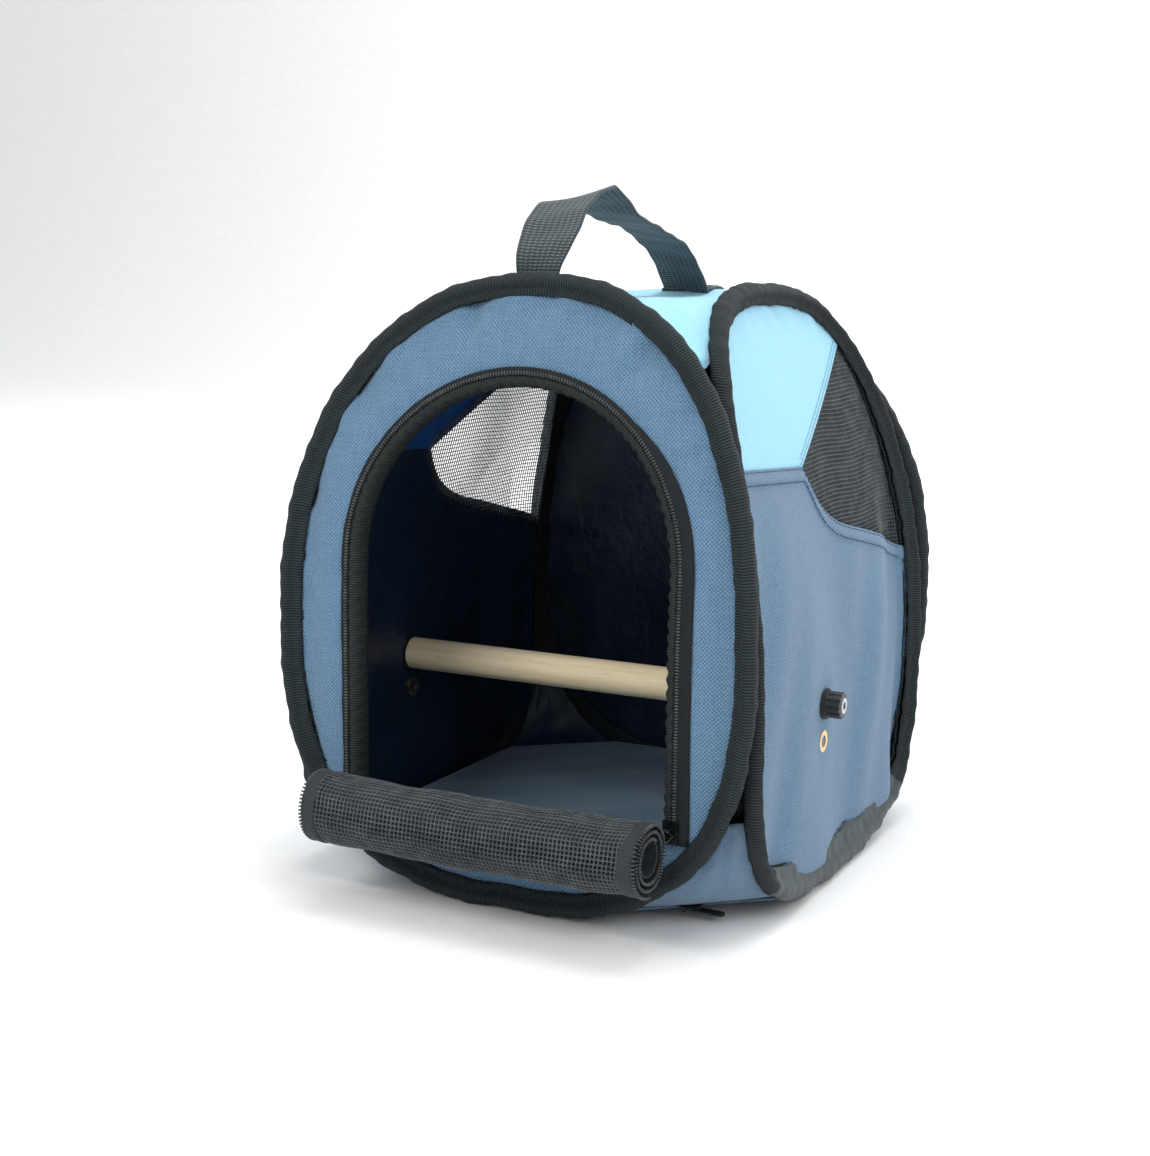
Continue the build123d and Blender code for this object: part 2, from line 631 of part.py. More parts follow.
def perch_insert():
    centre = (PERCH_Y, PERCH_HEIGHT)
    sleeve = rod("X", centre, INSERT_RADIUS, PERCH_HALF - INSERT_LENGTH, PERCH_HALF)
    return sleeve - rod("X", centre, SCREW_RADIUS + SCREW_CLEARANCE, 0.0, WIDTH)


def eyelet(height):
    """A rolled eyelet: a barrel through the cloth with a flange on each face."""
    centre = (PERCH_Y, height)
    outside = SIDE_FACE + EYELET_LIP
    inside = SIDE_INSIDE - EYELET_LIP
    body = rod("X", centre, EYELET_BORE / 2 + EYELET_LIP, inside, outside)
    body += rod("X", centre, EYELET_FLANGE / 2, SIDE_FACE, outside)
    body += rod("X", centre, EYELET_FLANGE / 2, inside, SIDE_INSIDE)
    return body - rod("X", centre, EYELET_BORE / 2, 0.0, WIDTH)


WASHER_IN = SIDE_FACE + EYELET_LIP + FIXING_GAP
KNOB_IN = WASHER_IN + WASHER_THICK + FIXING_GAP
KNOB_OUT = KNOB_IN + KNOB_LENGTH


def knob_washer():
    centre = (PERCH_Y, PERCH_HEIGHT)
    disc = rod("X", centre, WASHER_RADIUS, WASHER_IN, WASHER_IN + WASHER_THICK)
    return disc - rod("X", centre, SCREW_RADIUS + SCREW_CLEARANCE, 0.0, WIDTH)


def knob():
    """The grip: a short drum with finger flutes, moulded round the head of the screw."""
    centre = (PERCH_Y, PERCH_HEIGHT)
    drum = rod("X", centre, KNOB_RADIUS, KNOB_IN, KNOB_OUT)
    rim = drum.edges().filter_by(GeomType.CIRCLE).sort_by(Axis.X)[-1]
    drum = fillet(rim, 0.8)
    flute = KNOB_RADIUS * math.pi / KNOB_GRIPS * 0.42
    for i in range(KNOB_GRIPS):
        turn = 2.0 * math.pi * i / KNOB_GRIPS
        y = PERCH_Y + KNOB_RADIUS * math.cos(turn)
        z = PERCH_HEIGHT + KNOB_RADIUS * math.sin(turn)
        drum -= rod("X", (y, z), flute, KNOB_IN + 1.5, KNOB_OUT)
    drum -= rod("X", centre, SCREW_RADIUS, 0.0, WIDTH)
    return drum - rod("X", centre, SCREW_HEAD_RADIUS, KNOB_OUT - SCREW_HEAD_DEPTH, WIDTH)


def knob_screw():
    """The socket screw: the shank runs through the eyelet into the insert of the perch."""
    centre = (PERCH_Y, PERCH_HEIGHT)
    seat = KNOB_OUT - SCREW_HEAD_DEPTH
    shank = rod("X", centre, SCREW_RADIUS, PERCH_HALF - SCREW_REACH, seat)
    head = rod("X", centre, SCREW_HEAD_RADIUS, seat, KNOB_OUT + SCREW_PROUD)
    socket = extrude(RegularPolygon(HEX_SOCKET / 2, 6, major_radius=False), amount=SCREW_HEAD_DEPTH)
    socket = Pos(seat + 1.0, PERCH_Y, PERCH_HEIGHT) * Rot(0, 90, 0) * socket
    return shank + (head - socket)


# ---------------------------------------------------------------- handle
def handle_route():
    points = [(0.0, y, ROOF_HEIGHT + WEBBING_THICK + lift) for y, lift in HANDLE_ROUTE]
    return Wire([Spline(*points)])


def handle_band():
    route = handle_route()
    section = Plane(origin=route @ 0, x_dir=(1, 0, 0), z_dir=route % 0) * Rectangle(WEBBING_WIDTH, WEBBING_THICK)
    return sweep(section, path=route)


def handle_zone(radius):
    return rod("Y", (0.0, ROOF_HEIGHT + HANDLE_AXIS_LIFT), radius, -DEPTH, DEPTH)


def handle_strap():
    """The part of the webbing loop that flops from side to side."""
    return handle_band() - handle_zone(HANDLE_FREE_RADIUS)


def handle_stub(side):
    """The sewn end of the webbing, up to where the loop is free to turn."""
    near, far = sorted((0.0, side * DEPTH))
    room = box((-WIDTH, WIDTH), (near, far), (ROOF_HEIGHT + HANDLE_PATCH_THICK, FRONT_HEIGHT * 2))
    return handle_band() & handle_zone(HANDLE_FREE_RADIUS - HANDLE_SPLIT) & room


def handle_patches():
    """The folded-back ends of the webbing, sewn flat on the roof under the handle."""
    half = WEBBING_WIDTH / 2
    level = (ROOF_HEIGHT, ROOF_HEIGHT + HANDLE_PATCH_THICK)
    front = HANDLE_ROUTE[0][0]
    rear = HANDLE_ROUTE[-1][0]
    first = box((-half, half), (front - WEBBING_THICK / 2, front + HANDLE_PATCH_LENGTH), level)
    return first + box((-half, half), (rear - HANDLE_PATCH_LENGTH / 2, rear + HANDLE_PATCH_LENGTH / 2), level)


# ---------------------------------------------------------------- assembly
def left(shape):
    return mirror(shape, about=Plane.YZ)


def group(*shapes):
    solids = []
    for shape in shapes:
        solids.extend(shape.solids())
    return Compound(children=solids)


def build():
    nodes = {}
    sleeves = []
    for side, hoop in HOOPS.items():
        nodes[side + "_hoop_spring"] = turned(side, hoop_spring(hoop))
        nodes[side + "_hoop_binding"] = turned(side, binding(hoop))
        sleeves.append(turned(side, spring_sleeve(hoop)))
    nodes["spring_sleeves"] = group(*sleeves)

    nodes["front_panel"] = front_panel()
    nodes["back_panel"] = turned("back", wall(BACK_HOOP))
    patch, window, lower = side_walls()
    for name, piece in (("light_patch", patch), ("mesh_window", window), ("lower_panel", lower)):
        nodes["right_" + name] = piece
        nodes["left_" + name] = left(piece)
    nodes["roof_panel"] = roof_panel()
    nodes["floor_panel"] = floor_panel()
    nodes["corner_seam_tapes"] = four_corners(SEAM_TAPE_BOTTOM, SEAM_TAPE_TOP, inner_corners)
    nodes["floor_board"] = floor_layer(BOARD_LEVEL, BOARD_THICK)
    nodes["floor_mat"] = floor_layer(MAT_LEVEL, MAT_THICK)

    nodes["doorway_jamb_tape"] = doorway_jamb()
    nodes["doorway_zip_tape"] = doorway_zip_tape()
    nodes["doorway_zip_coil"] = doorway_zip_coil()
    nodes["door_mesh_roll"] = door_roll()
    nodes["door_edge_tapes"] = door_edge_tapes()
    nodes["door_edge_coils"] = door_edge_coils()
    nodes["door_hem_strip"] = door_hem()
    nodes["door_zip_slider"] = door_zip_slider()
    nodes["door_zip_bail"] = door_zip_bail()
    nodes["door_zip_pull"] = door_zip_pull()

    nodes["perch"] = perch()
    insert = perch_insert()
    nodes["perch_inserts"] = group(insert, left(insert))
    used = eyelet(PERCH_HEIGHT)
    spare = eyelet(SPARE_HEIGHT)
    nodes["right_eyelets"] = group(used, spare)
    nodes["left_eyelets"] = group(left(used), left(spare))
    for name, piece in (("knob_washer", knob_washer()), ("knob", knob()), ("knob_screw", knob_screw())):
        nodes["right_" + name] = piece
        nodes["left_" + name] = left(piece)

    nodes["handle_strap"] = handle_strap()
    nodes["handle_front_end"] = handle_stub(-1)
    nodes["handle_rear_end"] = handle_stub(1)
    nodes["handle_patches"] = handle_patches()

    nodes["floor_zip_tape"] = floor_zip_tape()
    nodes["floor_zip_coil"] = floor_zip_coil()
    nodes["floor_zip_slider"] = floor_zip_slider()
    nodes["floor_zip_pull"] = floor_zip_pull()
    return nodes


def main():
    os.makedirs("parts", exist_ok=True)
    for name, shape in build().items():
        export_step(Pos(0.0, HOOPS_BACK, 0.0) * shape, os.path.join("parts", name + ".step"))


main()
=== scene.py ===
import math

import bmesh
import bpy
import numpy as np
from mathutils import Matrix, Vector


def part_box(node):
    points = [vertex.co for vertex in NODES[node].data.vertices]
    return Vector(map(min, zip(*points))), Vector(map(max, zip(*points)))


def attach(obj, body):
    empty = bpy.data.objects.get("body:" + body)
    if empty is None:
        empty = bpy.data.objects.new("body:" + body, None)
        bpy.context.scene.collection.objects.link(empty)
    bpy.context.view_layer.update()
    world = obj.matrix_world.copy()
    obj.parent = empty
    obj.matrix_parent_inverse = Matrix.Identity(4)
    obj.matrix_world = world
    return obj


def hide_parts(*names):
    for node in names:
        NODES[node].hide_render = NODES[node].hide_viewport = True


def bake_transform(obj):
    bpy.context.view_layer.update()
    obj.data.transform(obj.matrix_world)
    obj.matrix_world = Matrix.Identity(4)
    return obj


# Looks of a soft-sided bird carrier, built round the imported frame.  Everything is in metres.
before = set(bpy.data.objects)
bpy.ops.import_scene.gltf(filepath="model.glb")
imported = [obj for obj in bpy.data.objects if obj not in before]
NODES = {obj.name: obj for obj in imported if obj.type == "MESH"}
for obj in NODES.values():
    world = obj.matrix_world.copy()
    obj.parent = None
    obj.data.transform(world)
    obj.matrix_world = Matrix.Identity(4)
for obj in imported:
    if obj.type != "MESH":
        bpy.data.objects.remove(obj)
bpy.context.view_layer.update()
PI = math.pi

# ---------------------------------------------------------------- sizes that repeat the frame's
BIND_W, BIND_T = 0.015, 0.0125
RECESS, CLOTH = 0.008, 0.0012
SEAM_FRONT, SEAM_CORNER, PATCH_REAR = 0.236, (-0.029, 0.229), (0.054, 0.274)
SILL_POINTS = [(-0.029, 0.229), (-0.013, 0.209), (0.045, 0.188), (0.150, 0.160)]
DOOR_HALF, DOOR_SILL, ARCH_Z = 0.096, 0.050, 0.181
ROLL_Y, ROLL_Z, ROLL_R, ROLL_HALF = -0.174, 0.051, 0.019, 0.100
ROLL_LEFT, ROLL_RIGHT = -0.0930, 0.0980     # the ends of the wound door
FRONT_FACE = -0.142
SHIFT_Y = (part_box("perch")[0].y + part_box("perch")[1].y) / 2 + 0.025     # the hoops' middle in the frame
ROOF_Z = 0.316
FLOOR_Z = 0.009
RIB_PITCH = 0.0015
MESH_PITCH = 0.0023
STRAND = 0.00078
TOOTH_PITCH = 0.0016


class Hoop:
    """One upright hoop: u runs sideways, the outer face looks outward and d is the depth behind it."""

    def __init__(self, half, height, widest, top_power, bottom_power, reach, lean):
        self.half, self.height, self.widest = half, height, widest
        self.top_power, self.bottom_power, self.reach, self.lean = top_power, bottom_power, reach, lean

    def lean_at(self, z):
        rise = np.maximum(0.0, z - self.widest) / (self.height - self.widest)
        return self.lean * rise**2

    def half_at(self, z):
        z = np.asarray(z, float)
        top = np.clip((z - self.widest) / (self.height - self.widest), 0, 1)
        low = np.clip((self.widest - z) / (self.widest + 0.0008), 0, 1)
        above = (1 - top**self.top_power) ** (1 / self.top_power)
        below = (1 - low**self.bottom_power) ** (1 / self.bottom_power)
        return self.half * np.where(z >= self.widest, above, below)

    def point(self, turn):
        c, s = np.cos(turn), np.sin(turn)
        power = np.where(s >= 0, self.top_power, self.bottom_power)
        rise = np.where(s >= 0, self.height - self.widest, self.widest + 0.0008)
        u = self.half * np.sign(c) * np.abs(c) ** (2 / power)
        z = self.widest + np.sign(s) * rise * np.abs(s) ** (2 / power)
        return u, z

    def ring(self, count, inset=0.0):
        """Points evenly spaced by length from the ground at the middle, and inward normals."""
        turn = np.linspace(-PI / 2, 1.5 * PI, 4001)
        u, z = self.point(turn)
        length = np.concatenate([[0], np.cumsum(np.hypot(np.diff(u), np.diff(z)))])
        at = np.linspace(0, length[-1], count + 1)[:-1]
        u, z = np.interp(at, length, u), np.interp(at, length, z)
        du, dz = np.roll(u, -1) - np.roll(u, 1), np.roll(z, -1) - np.roll(z, 1)
        size = np.hypot(du, dz)
        nu, nz = -dz / size, du / size
        return u + inset * nu, z + inset * nz, nu, nz, length[-1]

    def inner_half(self, z, inset):
        ru, rz, _, _, _ = self.ring(1400, inset)
        keep = ru > 0.0
        order = np.argsort(rz[keep])
        return np.interp(z, rz[keep][order], ru[keep][order])

    def edge(self, u, top, inset):
        """Height of the outline, moved inward, at the side place u: its upper or lower half."""
        ru, rz, _, _, _ = self.ring(1400, inset)
        keep = rz >= self.widest if top else rz <= self.widest
        order = np.argsort(ru[keep])
        return np.interp(u, ru[keep][order], rz[keep][order])


FRONT = Hoop(0.140, 0.330, 0.144, 2.25, 2.6, 0.150, 0.034)
BACK = Hoop(0.140, 0.315, 0.144, 2.25, 2.6, 0.150, 0.034 * (0.171 / 0.186) ** 2)
SIDE = Hoop(0.1374, 0.326, 0.112, 3.03, 3.2, 0.140, 0.055)
HOOPS = {"front": FRONT, "right": SIDE, "back": BACK, "left": SIDE}


def place(side, u, d, z):
    """Hoop coordinates to the frame's, as an array of points."""
    hoop = HOOPS[side]
    out = hoop.reach - hoop.lean_at(z) - d
    if side == "front":
        return np.stack([u, -out, z], -1)
    if side == "back":
        return np.stack([-u, out, z], -1)
    return np.stack([out if side == "right" else -out, u, z], -1)


# ---------------------------------------------------------------- materials
def material(name, rough=0.7, metal=0.0, **sockets):
    mat = bpy.data.materials.new(name)
    mat.use_nodes = True
    mat.node_tree.nodes.clear()
    out = mat.node_tree.nodes.new("ShaderNodeOutputMaterial")
    shader = mat.node_tree.nodes.new("ShaderNodeBsdfPrincipled")
    mat.node_tree.links.new(shader.outputs[0], out.inputs[0])
    shader.inputs["Roughness"].default_value = rough
    shader.inputs["Metallic"].default_value = metal
    for key, value in sockets.items():
        shader.inputs[key.replace("_", " ")].default_value = value
    return mat


class Net:
    """A few short cuts for wiring one material."""

    def __init__(self, mat):
        self.tree = mat.node_tree
        self.shader = next(n for n in self.tree.nodes if n.type == "BSDF_PRINCIPLED")

    def put(self, socket, value):
        if isinstance(value, bpy.types.NodeSocket):
            self.tree.links.new(value, socket)
        else:
            socket.default_value = value

    def math(self, op, a, b=0.0, c=0.0, clamp=False):
        n = self.tree.nodes.new("ShaderNodeMath")
        n.operation, n.use_clamp = op, clamp
        for socket, value in zip(n.inputs, (a, b, c)):
            self.put(socket, value)
        return n.outputs[0]

    def uv(self):
        n = self.tree.nodes.new("ShaderNodeUVMap")
        n.uv_map = "cloth"
        s = self.tree.nodes.new("ShaderNodeSeparateXYZ")
        self.tree.links.new(n.outputs[0], s.inputs[0])
        return n.outputs[0], s.outputs[0], s.outputs[1]

    def place(self):
        n = self.tree.nodes.new("ShaderNodeTexCoord")
        s = self.tree.nodes.new("ShaderNodeSeparateXYZ")
        self.tree.links.new(n.outputs["Object"], s.inputs[0])
        return n.outputs["Object"], s.outputs[0], s.outputs[1], s.outputs[2]

    def scaled(self, vector, scale, spin=0.0):
        n = self.tree.nodes.new("ShaderNodeMapping")
        self.tree.links.new(vector, n.inputs["Vector"])
        n.inputs["Scale"].default_value = scale
        n.inputs["Rotation"].default_value = (0, 0, spin)
        return n.outputs[0]

    def noise(self, vector, scale, detail=3.0, rough=0.55):
        n = self.tree.nodes.new("ShaderNodeTexNoise")
        self.put(n.inputs["Vector"], vector)
        n.inputs["Scale"].default_value = scale
        n.inputs["Detail"].default_value = detail
        n.inputs["Roughness"].default_value = rough
        return n.outputs[0]

    def wave(self, x, pitch, phase=0.0):
        """A smooth 0 to 1 wave of that pitch along x."""
        turn = self.math("MULTIPLY_ADD", x, 2 * PI / pitch, phase)
        return self.math("MULTIPLY_ADD", self.math("SINE", turn), 0.5, 0.5)

    def ramp(self, value, *stops):
        n = self.tree.nodes.new("ShaderNodeValToRGB")
        self.put(n.inputs[0], value)
        while len(n.color_ramp.elements) < len(stops):
            n.color_ramp.elements.new(0.5)
        for element, (at, colour) in zip(n.color_ramp.elements, stops):
            element.position = at
            element.color = (*colour, 1.0)
        return n.outputs[0]

    def mix(self, share, a, b, kind="MIX"):
        n = self.tree.nodes.new("ShaderNodeMix")
        n.data_type, n.blend_type = "RGBA", kind
        self.put(n.inputs[0], share)
        self.put(n.inputs[6], a if isinstance(a, bpy.types.NodeSocket) else (*a, 1.0))
        self.put(n.inputs[7], b if isinstance(b, bpy.types.NodeSocket) else (*b, 1.0))
        return n.outputs[2]

    def spread(self, value, low, high):
        n = self.tree.nodes.new("ShaderNodeMapRange")
        self.put(n.inputs[0], value)
        n.inputs[3].default_value = low
        n.inputs[4].default_value = high
        return n.outputs[0]

    def bump(self, *layers):
        """Layers of (height, distance in metres), the later ones on top of the earlier."""
        normal = None
        for height, distance in layers:
            n = self.tree.nodes.new("ShaderNodeBump")
            n.inputs["Strength"].default_value = 1.0
            n.inputs["Distance"].default_value = distance
            self.put(n.inputs["Height"], height)
            if normal is not None:
                self.tree.links.new(normal, n.inputs["Normal"])
            normal = n.outputs[0]
        self.tree.links.new(normal, self.shader.inputs["Normal"])

    def set(self, **sockets):
        for key, value in sockets.items():
            self.put(self.shader.inputs[key.replace("_", " ")], value)


def oxford(name, base, deep, pale, pitch=0.0011, rough=0.78, sheen=0.25, relief=0.00016):
    """Woven polyester: a plain weave of slightly uneven yarns, with a soft sheen."""
    mat = material(name, rough, Sheen_Weight=sheen, Sheen_Roughness=0.45, Specular_IOR_Level=0.32)
    net = Net(mat)
    vector, x, y = net.uv()
    drift = net.noise(net.scaled(vector, (120, 120, 1)), 1.0, 2.0)
    wobble = net.math("MULTIPLY", net.math("SUBTRACT", drift, 0.5), 0.0007)
    x = net.math("ADD", x, wobble)
    y = net.math("ADD", y, wobble)
    a = net.math("SINE", net.math("MULTIPLY", x, 2 * PI / pitch))
    b = net.math("SINE", net.math("MULTIPLY", y, 2 * PI / pitch))
    weave = net.math("MULTIPLY_ADD", net.math("MULTIPLY", a, b), 0.5, 0.5)
    warp = net.noise(net.scaled(vector, (1400, 60, 1)), 1.0, 2.0)
    weft = net.noise(net.scaled(vector, (60, 1400, 1)), 1.0, 2.0)
    yarn = net.math("MULTIPLY", net.math("ADD", warp, weft), 0.5)
    cloud = net.noise(net.scaled(vector, (14, 9, 1)), 1.0, 4.0)
    tone = net.math("MULTIPLY_ADD", weave, 0.42, net.math("MULTIPLY", yarn, 0.58))
    colour = net.ramp(tone, (0.18, deep), (0.5, base), (0.82, pale))
    colour = net.mix(net.spread(cloud, 0.0, 0.22), colour, deep)
    net.set(Base_Color=colour, Roughness=net.spread(yarn, rough - 0.1, rough + 0.12))
    net.bump((cloud, 0.0012), (yarn, relief * 0.6), (weave, relief))
    return mat


def lining(name, base, painted_crease_highlight, rough=0.38):
    """The coated inner face of the cloth: smooth, faintly creased and a little glossy, with painted
    highlight: the raised side of each crease is coloured lighter.
    """
    mat = material(name, rough, Specular_IOR_Level=0.45, Coat_Weight=0.12, Coat_Roughness=0.3)
    net = Net(mat)
    vector = net.uv()[0]
    crease = net.noise(net.scaled(vector, (26, 18, 1)), 1.0, 6.0, 0.62)
    fine = net.noise(net.scaled(vector, (700, 700, 1)), 1.0, 2.0)
    # Painted highlight: the crease noise that raises the cloth also lightens its colour towards the second
    # colour.
    net.set(Base_Color=net.ramp(crease, (0.3, base), (0.72, painted_crease_highlight)),
        Roughness=net.spread(fine, rough - 0.08, rough + 0.2))
    net.bump((crease, 0.004), (fine, 0.00008))
    return mat


def ribbed(name, base, pale, pitch=RIB_PITCH, depth=0.00035, rough=0.74, sheen=0.35, across=0.0):
    """Grosgrain tape: cords across its width, a mottled tone and dusty fibres."""
    mat = material(name, rough, Sheen_Weight=sheen, Sheen_Roughness=0.5, Specular_IOR_Level=0.3)
    net = Net(mat)
    vector, x, y = net.uv()
    wander = net.noise(net.scaled(vector, (60, 260, 1)), 1.0, 2.0)
    x = net.math("MULTIPLY_ADD", net.math("SUBTRACT", wander, 0.5), pitch * 0.9, x)
    rib = net.wave(x, pitch)
    cross = net.wave(y, across) if across else net.noise(net.scaled(vector, (500, 1500, 1)), 1.0, 2.0)
    fluff = net.noise(net.scaled(vector, (420, 420, 1)), 1.0, 4.0, 0.7)
    broad = net.noise(net.scaled(vector, (22, 40, 1)), 1.0, 3.0)
    tone = net.math("MULTIPLY", rib, net.math("MULTIPLY_ADD", cross, 0.6, 0.5))
    tone = net.math("MULTIPLY_ADD", fluff, 0.35, net.math("MULTIPLY", tone, 0.75))
    deep = tuple(c * 0.3 for c in base)
    colour = net.ramp(tone, (0.1, deep), (0.5, base), (0.95, pale))
    colour = net.mix(net.spread(broad, 0.0, 0.35), colour, deep)
    net.set(Base_Color=colour, Roughness=net.spread(fluff, rough - 0.12, rough + 0.18))
    net.bump((broad, 0.0009), (fluff, 0.00012), (tone, depth))
    return mat


def moulded(name, base, rough=0.45, grain=900.0, relief=0.00008, metal=0.0, worn=None, **sockets):
    """Plastic, rubber or cast metal: a fine grain, faint smudges and a slightly worn tone. On the mesh yarn
    the lighter worn tone is painted highlight on the shiny strands.
    """
    mat = material(name, rough, metal, **sockets)
    net = Net(mat)
    vector = net.place()[0]
    fine = net.noise(vector, grain, 3.0)
    broad = net.noise(vector, grain / 12, 4.0)
    worn = worn or tuple(min(1.0, c * 1.5 + 0.01) for c in base)
    colour = net.ramp(broad, (0.35, base), (0.75, worn))
    colour = net.mix(net.spread(fine, 0.0, 0.25), colour, tuple(c * 0.6 for c in base))
    net.set(Base_Color=colour, Roughness=net.spread(broad, rough - 0.1, rough + 0.16))
    net.bump((broad, relief * 2), (fine, relief))
    return mat


def wood(name):
    """Pale turned dowel: long grain along X with a few pores and darker streaks."""
    mat = material(name, 0.5, Specular_IOR_Level=0.4, Coat_Weight=0.08, Coat_Roughness=0.35)
    net = Net(mat)
    vector = net.place()[0]
    grain = net.noise(net.scaled(vector, (9, 210, 210)), 1.0, 6.0, 0.6)
    pores = net.noise(net.scaled(vector, (90, 1500, 1500)), 1.0, 3.0)
    broad = net.noise(net.scaled(vector, (3, 60, 60)), 1.0, 3.0)
    colour = net.ramp(grain, (0.28, (0.66, 0.50, 0.29)), (0.48, (0.83, 0.70, 0.47)),
        (0.75, (0.92, 0.82, 0.60)))
    colour = net.mix(net.spread(broad, 0.0, 0.35), colour, (0.86, 0.72, 0.46))
    dark = net.math("LESS_THAN", pores, 0.34)
    colour = net.mix(net.math("MULTIPLY", dark, 0.35), colour, (0.42, 0.28, 0.13))
    net.set(Base_Color=colour, Roughness=net.spread(grain, 0.42, 0.62))
    net.bump((grain, 0.0004), (pores, 0.00012))
    return mat


SLATE = (0.104, 0.205, 0.325)
M = {
    "slate": oxford("slate_cloth", SLATE, (0.045, 0.100, 0.175), (0.215, 0.365, 0.520), 0.0021,
        relief=0.00055),
    # Each lining's second colour is painted highlight on the raised side of its creases.
    "navy": lining("navy_lining", (0.0022, 0.0075, 0.020), (0.006, 0.019, 0.046)),
    "sky": oxford("sky_cloth", (0.30, 0.62, 0.78), (0.22, 0.51, 0.69), (0.40, 0.72, 0.86), 0.0021,
        rough=0.72, relief=0.0003),
    # The inner face of the sky cloth: a bright royal blue that is painted light, standing in for the light
    # shining through the thin sky cloth.
    "lit_through_lining": lining("royal_lining", (0.004, 0.050, 0.20), (0.010, 0.095, 0.34), 0.5),
    "mat": oxford("mat_cloth", (0.080, 0.150, 0.225), (0.045, 0.095, 0.155), (0.15, 0.245, 0.345), 0.0013),
    "binding": ribbed("binding_tape", (0.0085, 0.0150, 0.0180), (0.048, 0.070, 0.078), sheen=0.0,
        depth=0.0006),
    "binding_flat": ribbed("binding_flat", (0.040, 0.056, 0.064), (0.115, 0.140, 0.152), 0.0011, 0.0002,
        sheen=0.15),
    "webbing": ribbed("handle_webbing", (0.054, 0.070, 0.078), (0.160, 0.188, 0.200), 0.0017, 0.0004,
        sheen=0.15, across=0.0034),
    "tape": ribbed("zip_tape", (0.005, 0.0075, 0.0090), (0.018, 0.024, 0.027), 0.0009, 0.0001, sheen=0.0),
    "jamb": ribbed("jamb_tape", (0.008, 0.011, 0.012), (0.055, 0.064, 0.067), 0.0013, 0.0004, sheen=0.0),
    # Mesh yarn: its lighter worn colour is painted highlight on the shiny strands.
    "mesh": moulded("mesh_yarn", (0.044, 0.055, 0.061), 0.36, 1600, 0.00006, worn=(0.115, 0.135, 0.145)),
    "hem": ribbed("mesh_edge_tape", (0.020, 0.027, 0.031), (0.062, 0.077, 0.084), 0.0010, 0.00016,
        sheen=0.05),
    "teeth": moulded("zip_nylon", (0.020, 0.022, 0.024), 0.32, 2200, 0.00003, worn=(0.07, 0.075, 0.08)),
    "thread": ribbed("thread", (0.040, 0.080, 0.130), (0.110, 0.180, 0.260), 0.0006, 0.0001, sheen=0.0),
    "sky_thread": ribbed("sky_thread", (0.24, 0.54, 0.70), (0.36, 0.66, 0.80), 0.0006, 0.0001, sheen=0.0),
    "black_thread": ribbed("black_thread", (0.012, 0.014, 0.016), (0.05, 0.055, 0.06), 0.0006, 0.0001),
    "enamel": moulded("zip_enamel", (0.022, 0.026, 0.030), 0.30, 1200, 0.00003, 0.85,
        worn=(0.11, 0.12, 0.125)),
    "brass": moulded("brass_fitting", (0.78, 0.52, 0.20), 0.26, 700, 0.00003, 1.0, worn=(0.90, 0.68, 0.34)),
    "steel": moulded("screw_steel", (0.42, 0.43, 0.45), 0.28, 900, 0.00003, 1.0),
    "spring": moulded("spring_steel", (0.30, 0.31, 0.33), 0.36, 700, 0.00003, 1.0),
    "knob": moulded("knob_plastic", (0.012, 0.015, 0.018), 0.40, 1500, 0.00005, worn=(0.04, 0.045, 0.05)),
    "rubber": moulded("washer_rubber", (0.010, 0.011, 0.012), 0.72, 1800, 0.00006),
    "board": moulded("board_plastic", (0.030, 0.034, 0.040), 0.55, 600, 0.00010),
    "core": ribbed("wound_mesh", (0.016, 0.019, 0.021), (0.050, 0.058, 0.062), MESH_PITCH, 0.0003,
        across=MESH_PITCH),
    "wood": wood("pale_wood"),
}


# ---------------------------------------------------------------- meshes
def mesh_object(name, points, faces, uv=None, materials=(), indices=None, smooth=True):
    """A mesh from points and faces; uv gives each face corner's place on the cloth, in metres."""
    mesh = bpy.data.meshes.new(name)
    points = np.asarray(points, float) + (0, SHIFT_Y, 0)
    mesh.from_pydata(points.tolist(), [], [tuple(map(int, f)) for f in faces])
    if uv is not None:
        layer = mesh.uv_layers.new(name="cloth")
        layer.data.foreach_set("uv", np.asarray(uv, np.float32).ravel())
    for mat in materials:
        mesh.materials.append(M[mat])
    if indices is not None:
        mesh.polygons.foreach_set("material_index", np.asarray(indices, np.int32))
    mesh.polygons.foreach_set("use_smooth", [smooth] * len(mesh.polygons))
    mesh.update()
    obj = bpy.data.objects.new(name, mesh)
    bpy.context.scene.collection.objects.link(obj)
    return obj


def grid(name, points, uv, materials=("slate",), loop=False, flip=False, pick=None):
    """A sheet from a rows x columns array of points, with its flat places in uv."""
    rows, cols = points.shape[:2]
    faces, corners, index = [], [], []
    last = cols if loop else cols - 1
    for i in range(rows - 1):
        for j in range(last):
            k = (j + 1) % cols
            cells = [(i, j, j), (i, k, j + 1), (i + 1, k, j + 1), (i + 1, j, j)]
            if flip:
                cells.reverse()
            faces.append([r * cols + c for r, c, _ in cells])
            corners.extend(uv[r, t] for r, _, t in cells)
            index.append(pick(i, j) if pick else 0)
    return mesh_object(name, points.reshape(-1, 3), faces, corners, materials, index)


def thicken(obj, thick, lined=True):
    mod = obj.modifiers.new("cloth", "SOLIDIFY")
    mod.thickness, mod.offset = thick, -1.0
    mod.use_even_offset = False
    if lined:
        mod.material_offset = 1
        mod.material_offset_rim = 0
    return obj


def finish_piece(obj, body, slot, *replaced):
    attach(obj, body)
    if replaced:
        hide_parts(*replaced)
    return obj


def frames_along(path, up):
    """Unit tangents and sideways directions along a path of points."""
    tangent = np.gradient(path, axis=0)
    tangent /= np.linalg.norm(tangent, axis=1)[:, None]
    side = np.cross(tangent, up)
    side /= np.linalg.norm(side, axis=1)[:, None]
    return tangent, side


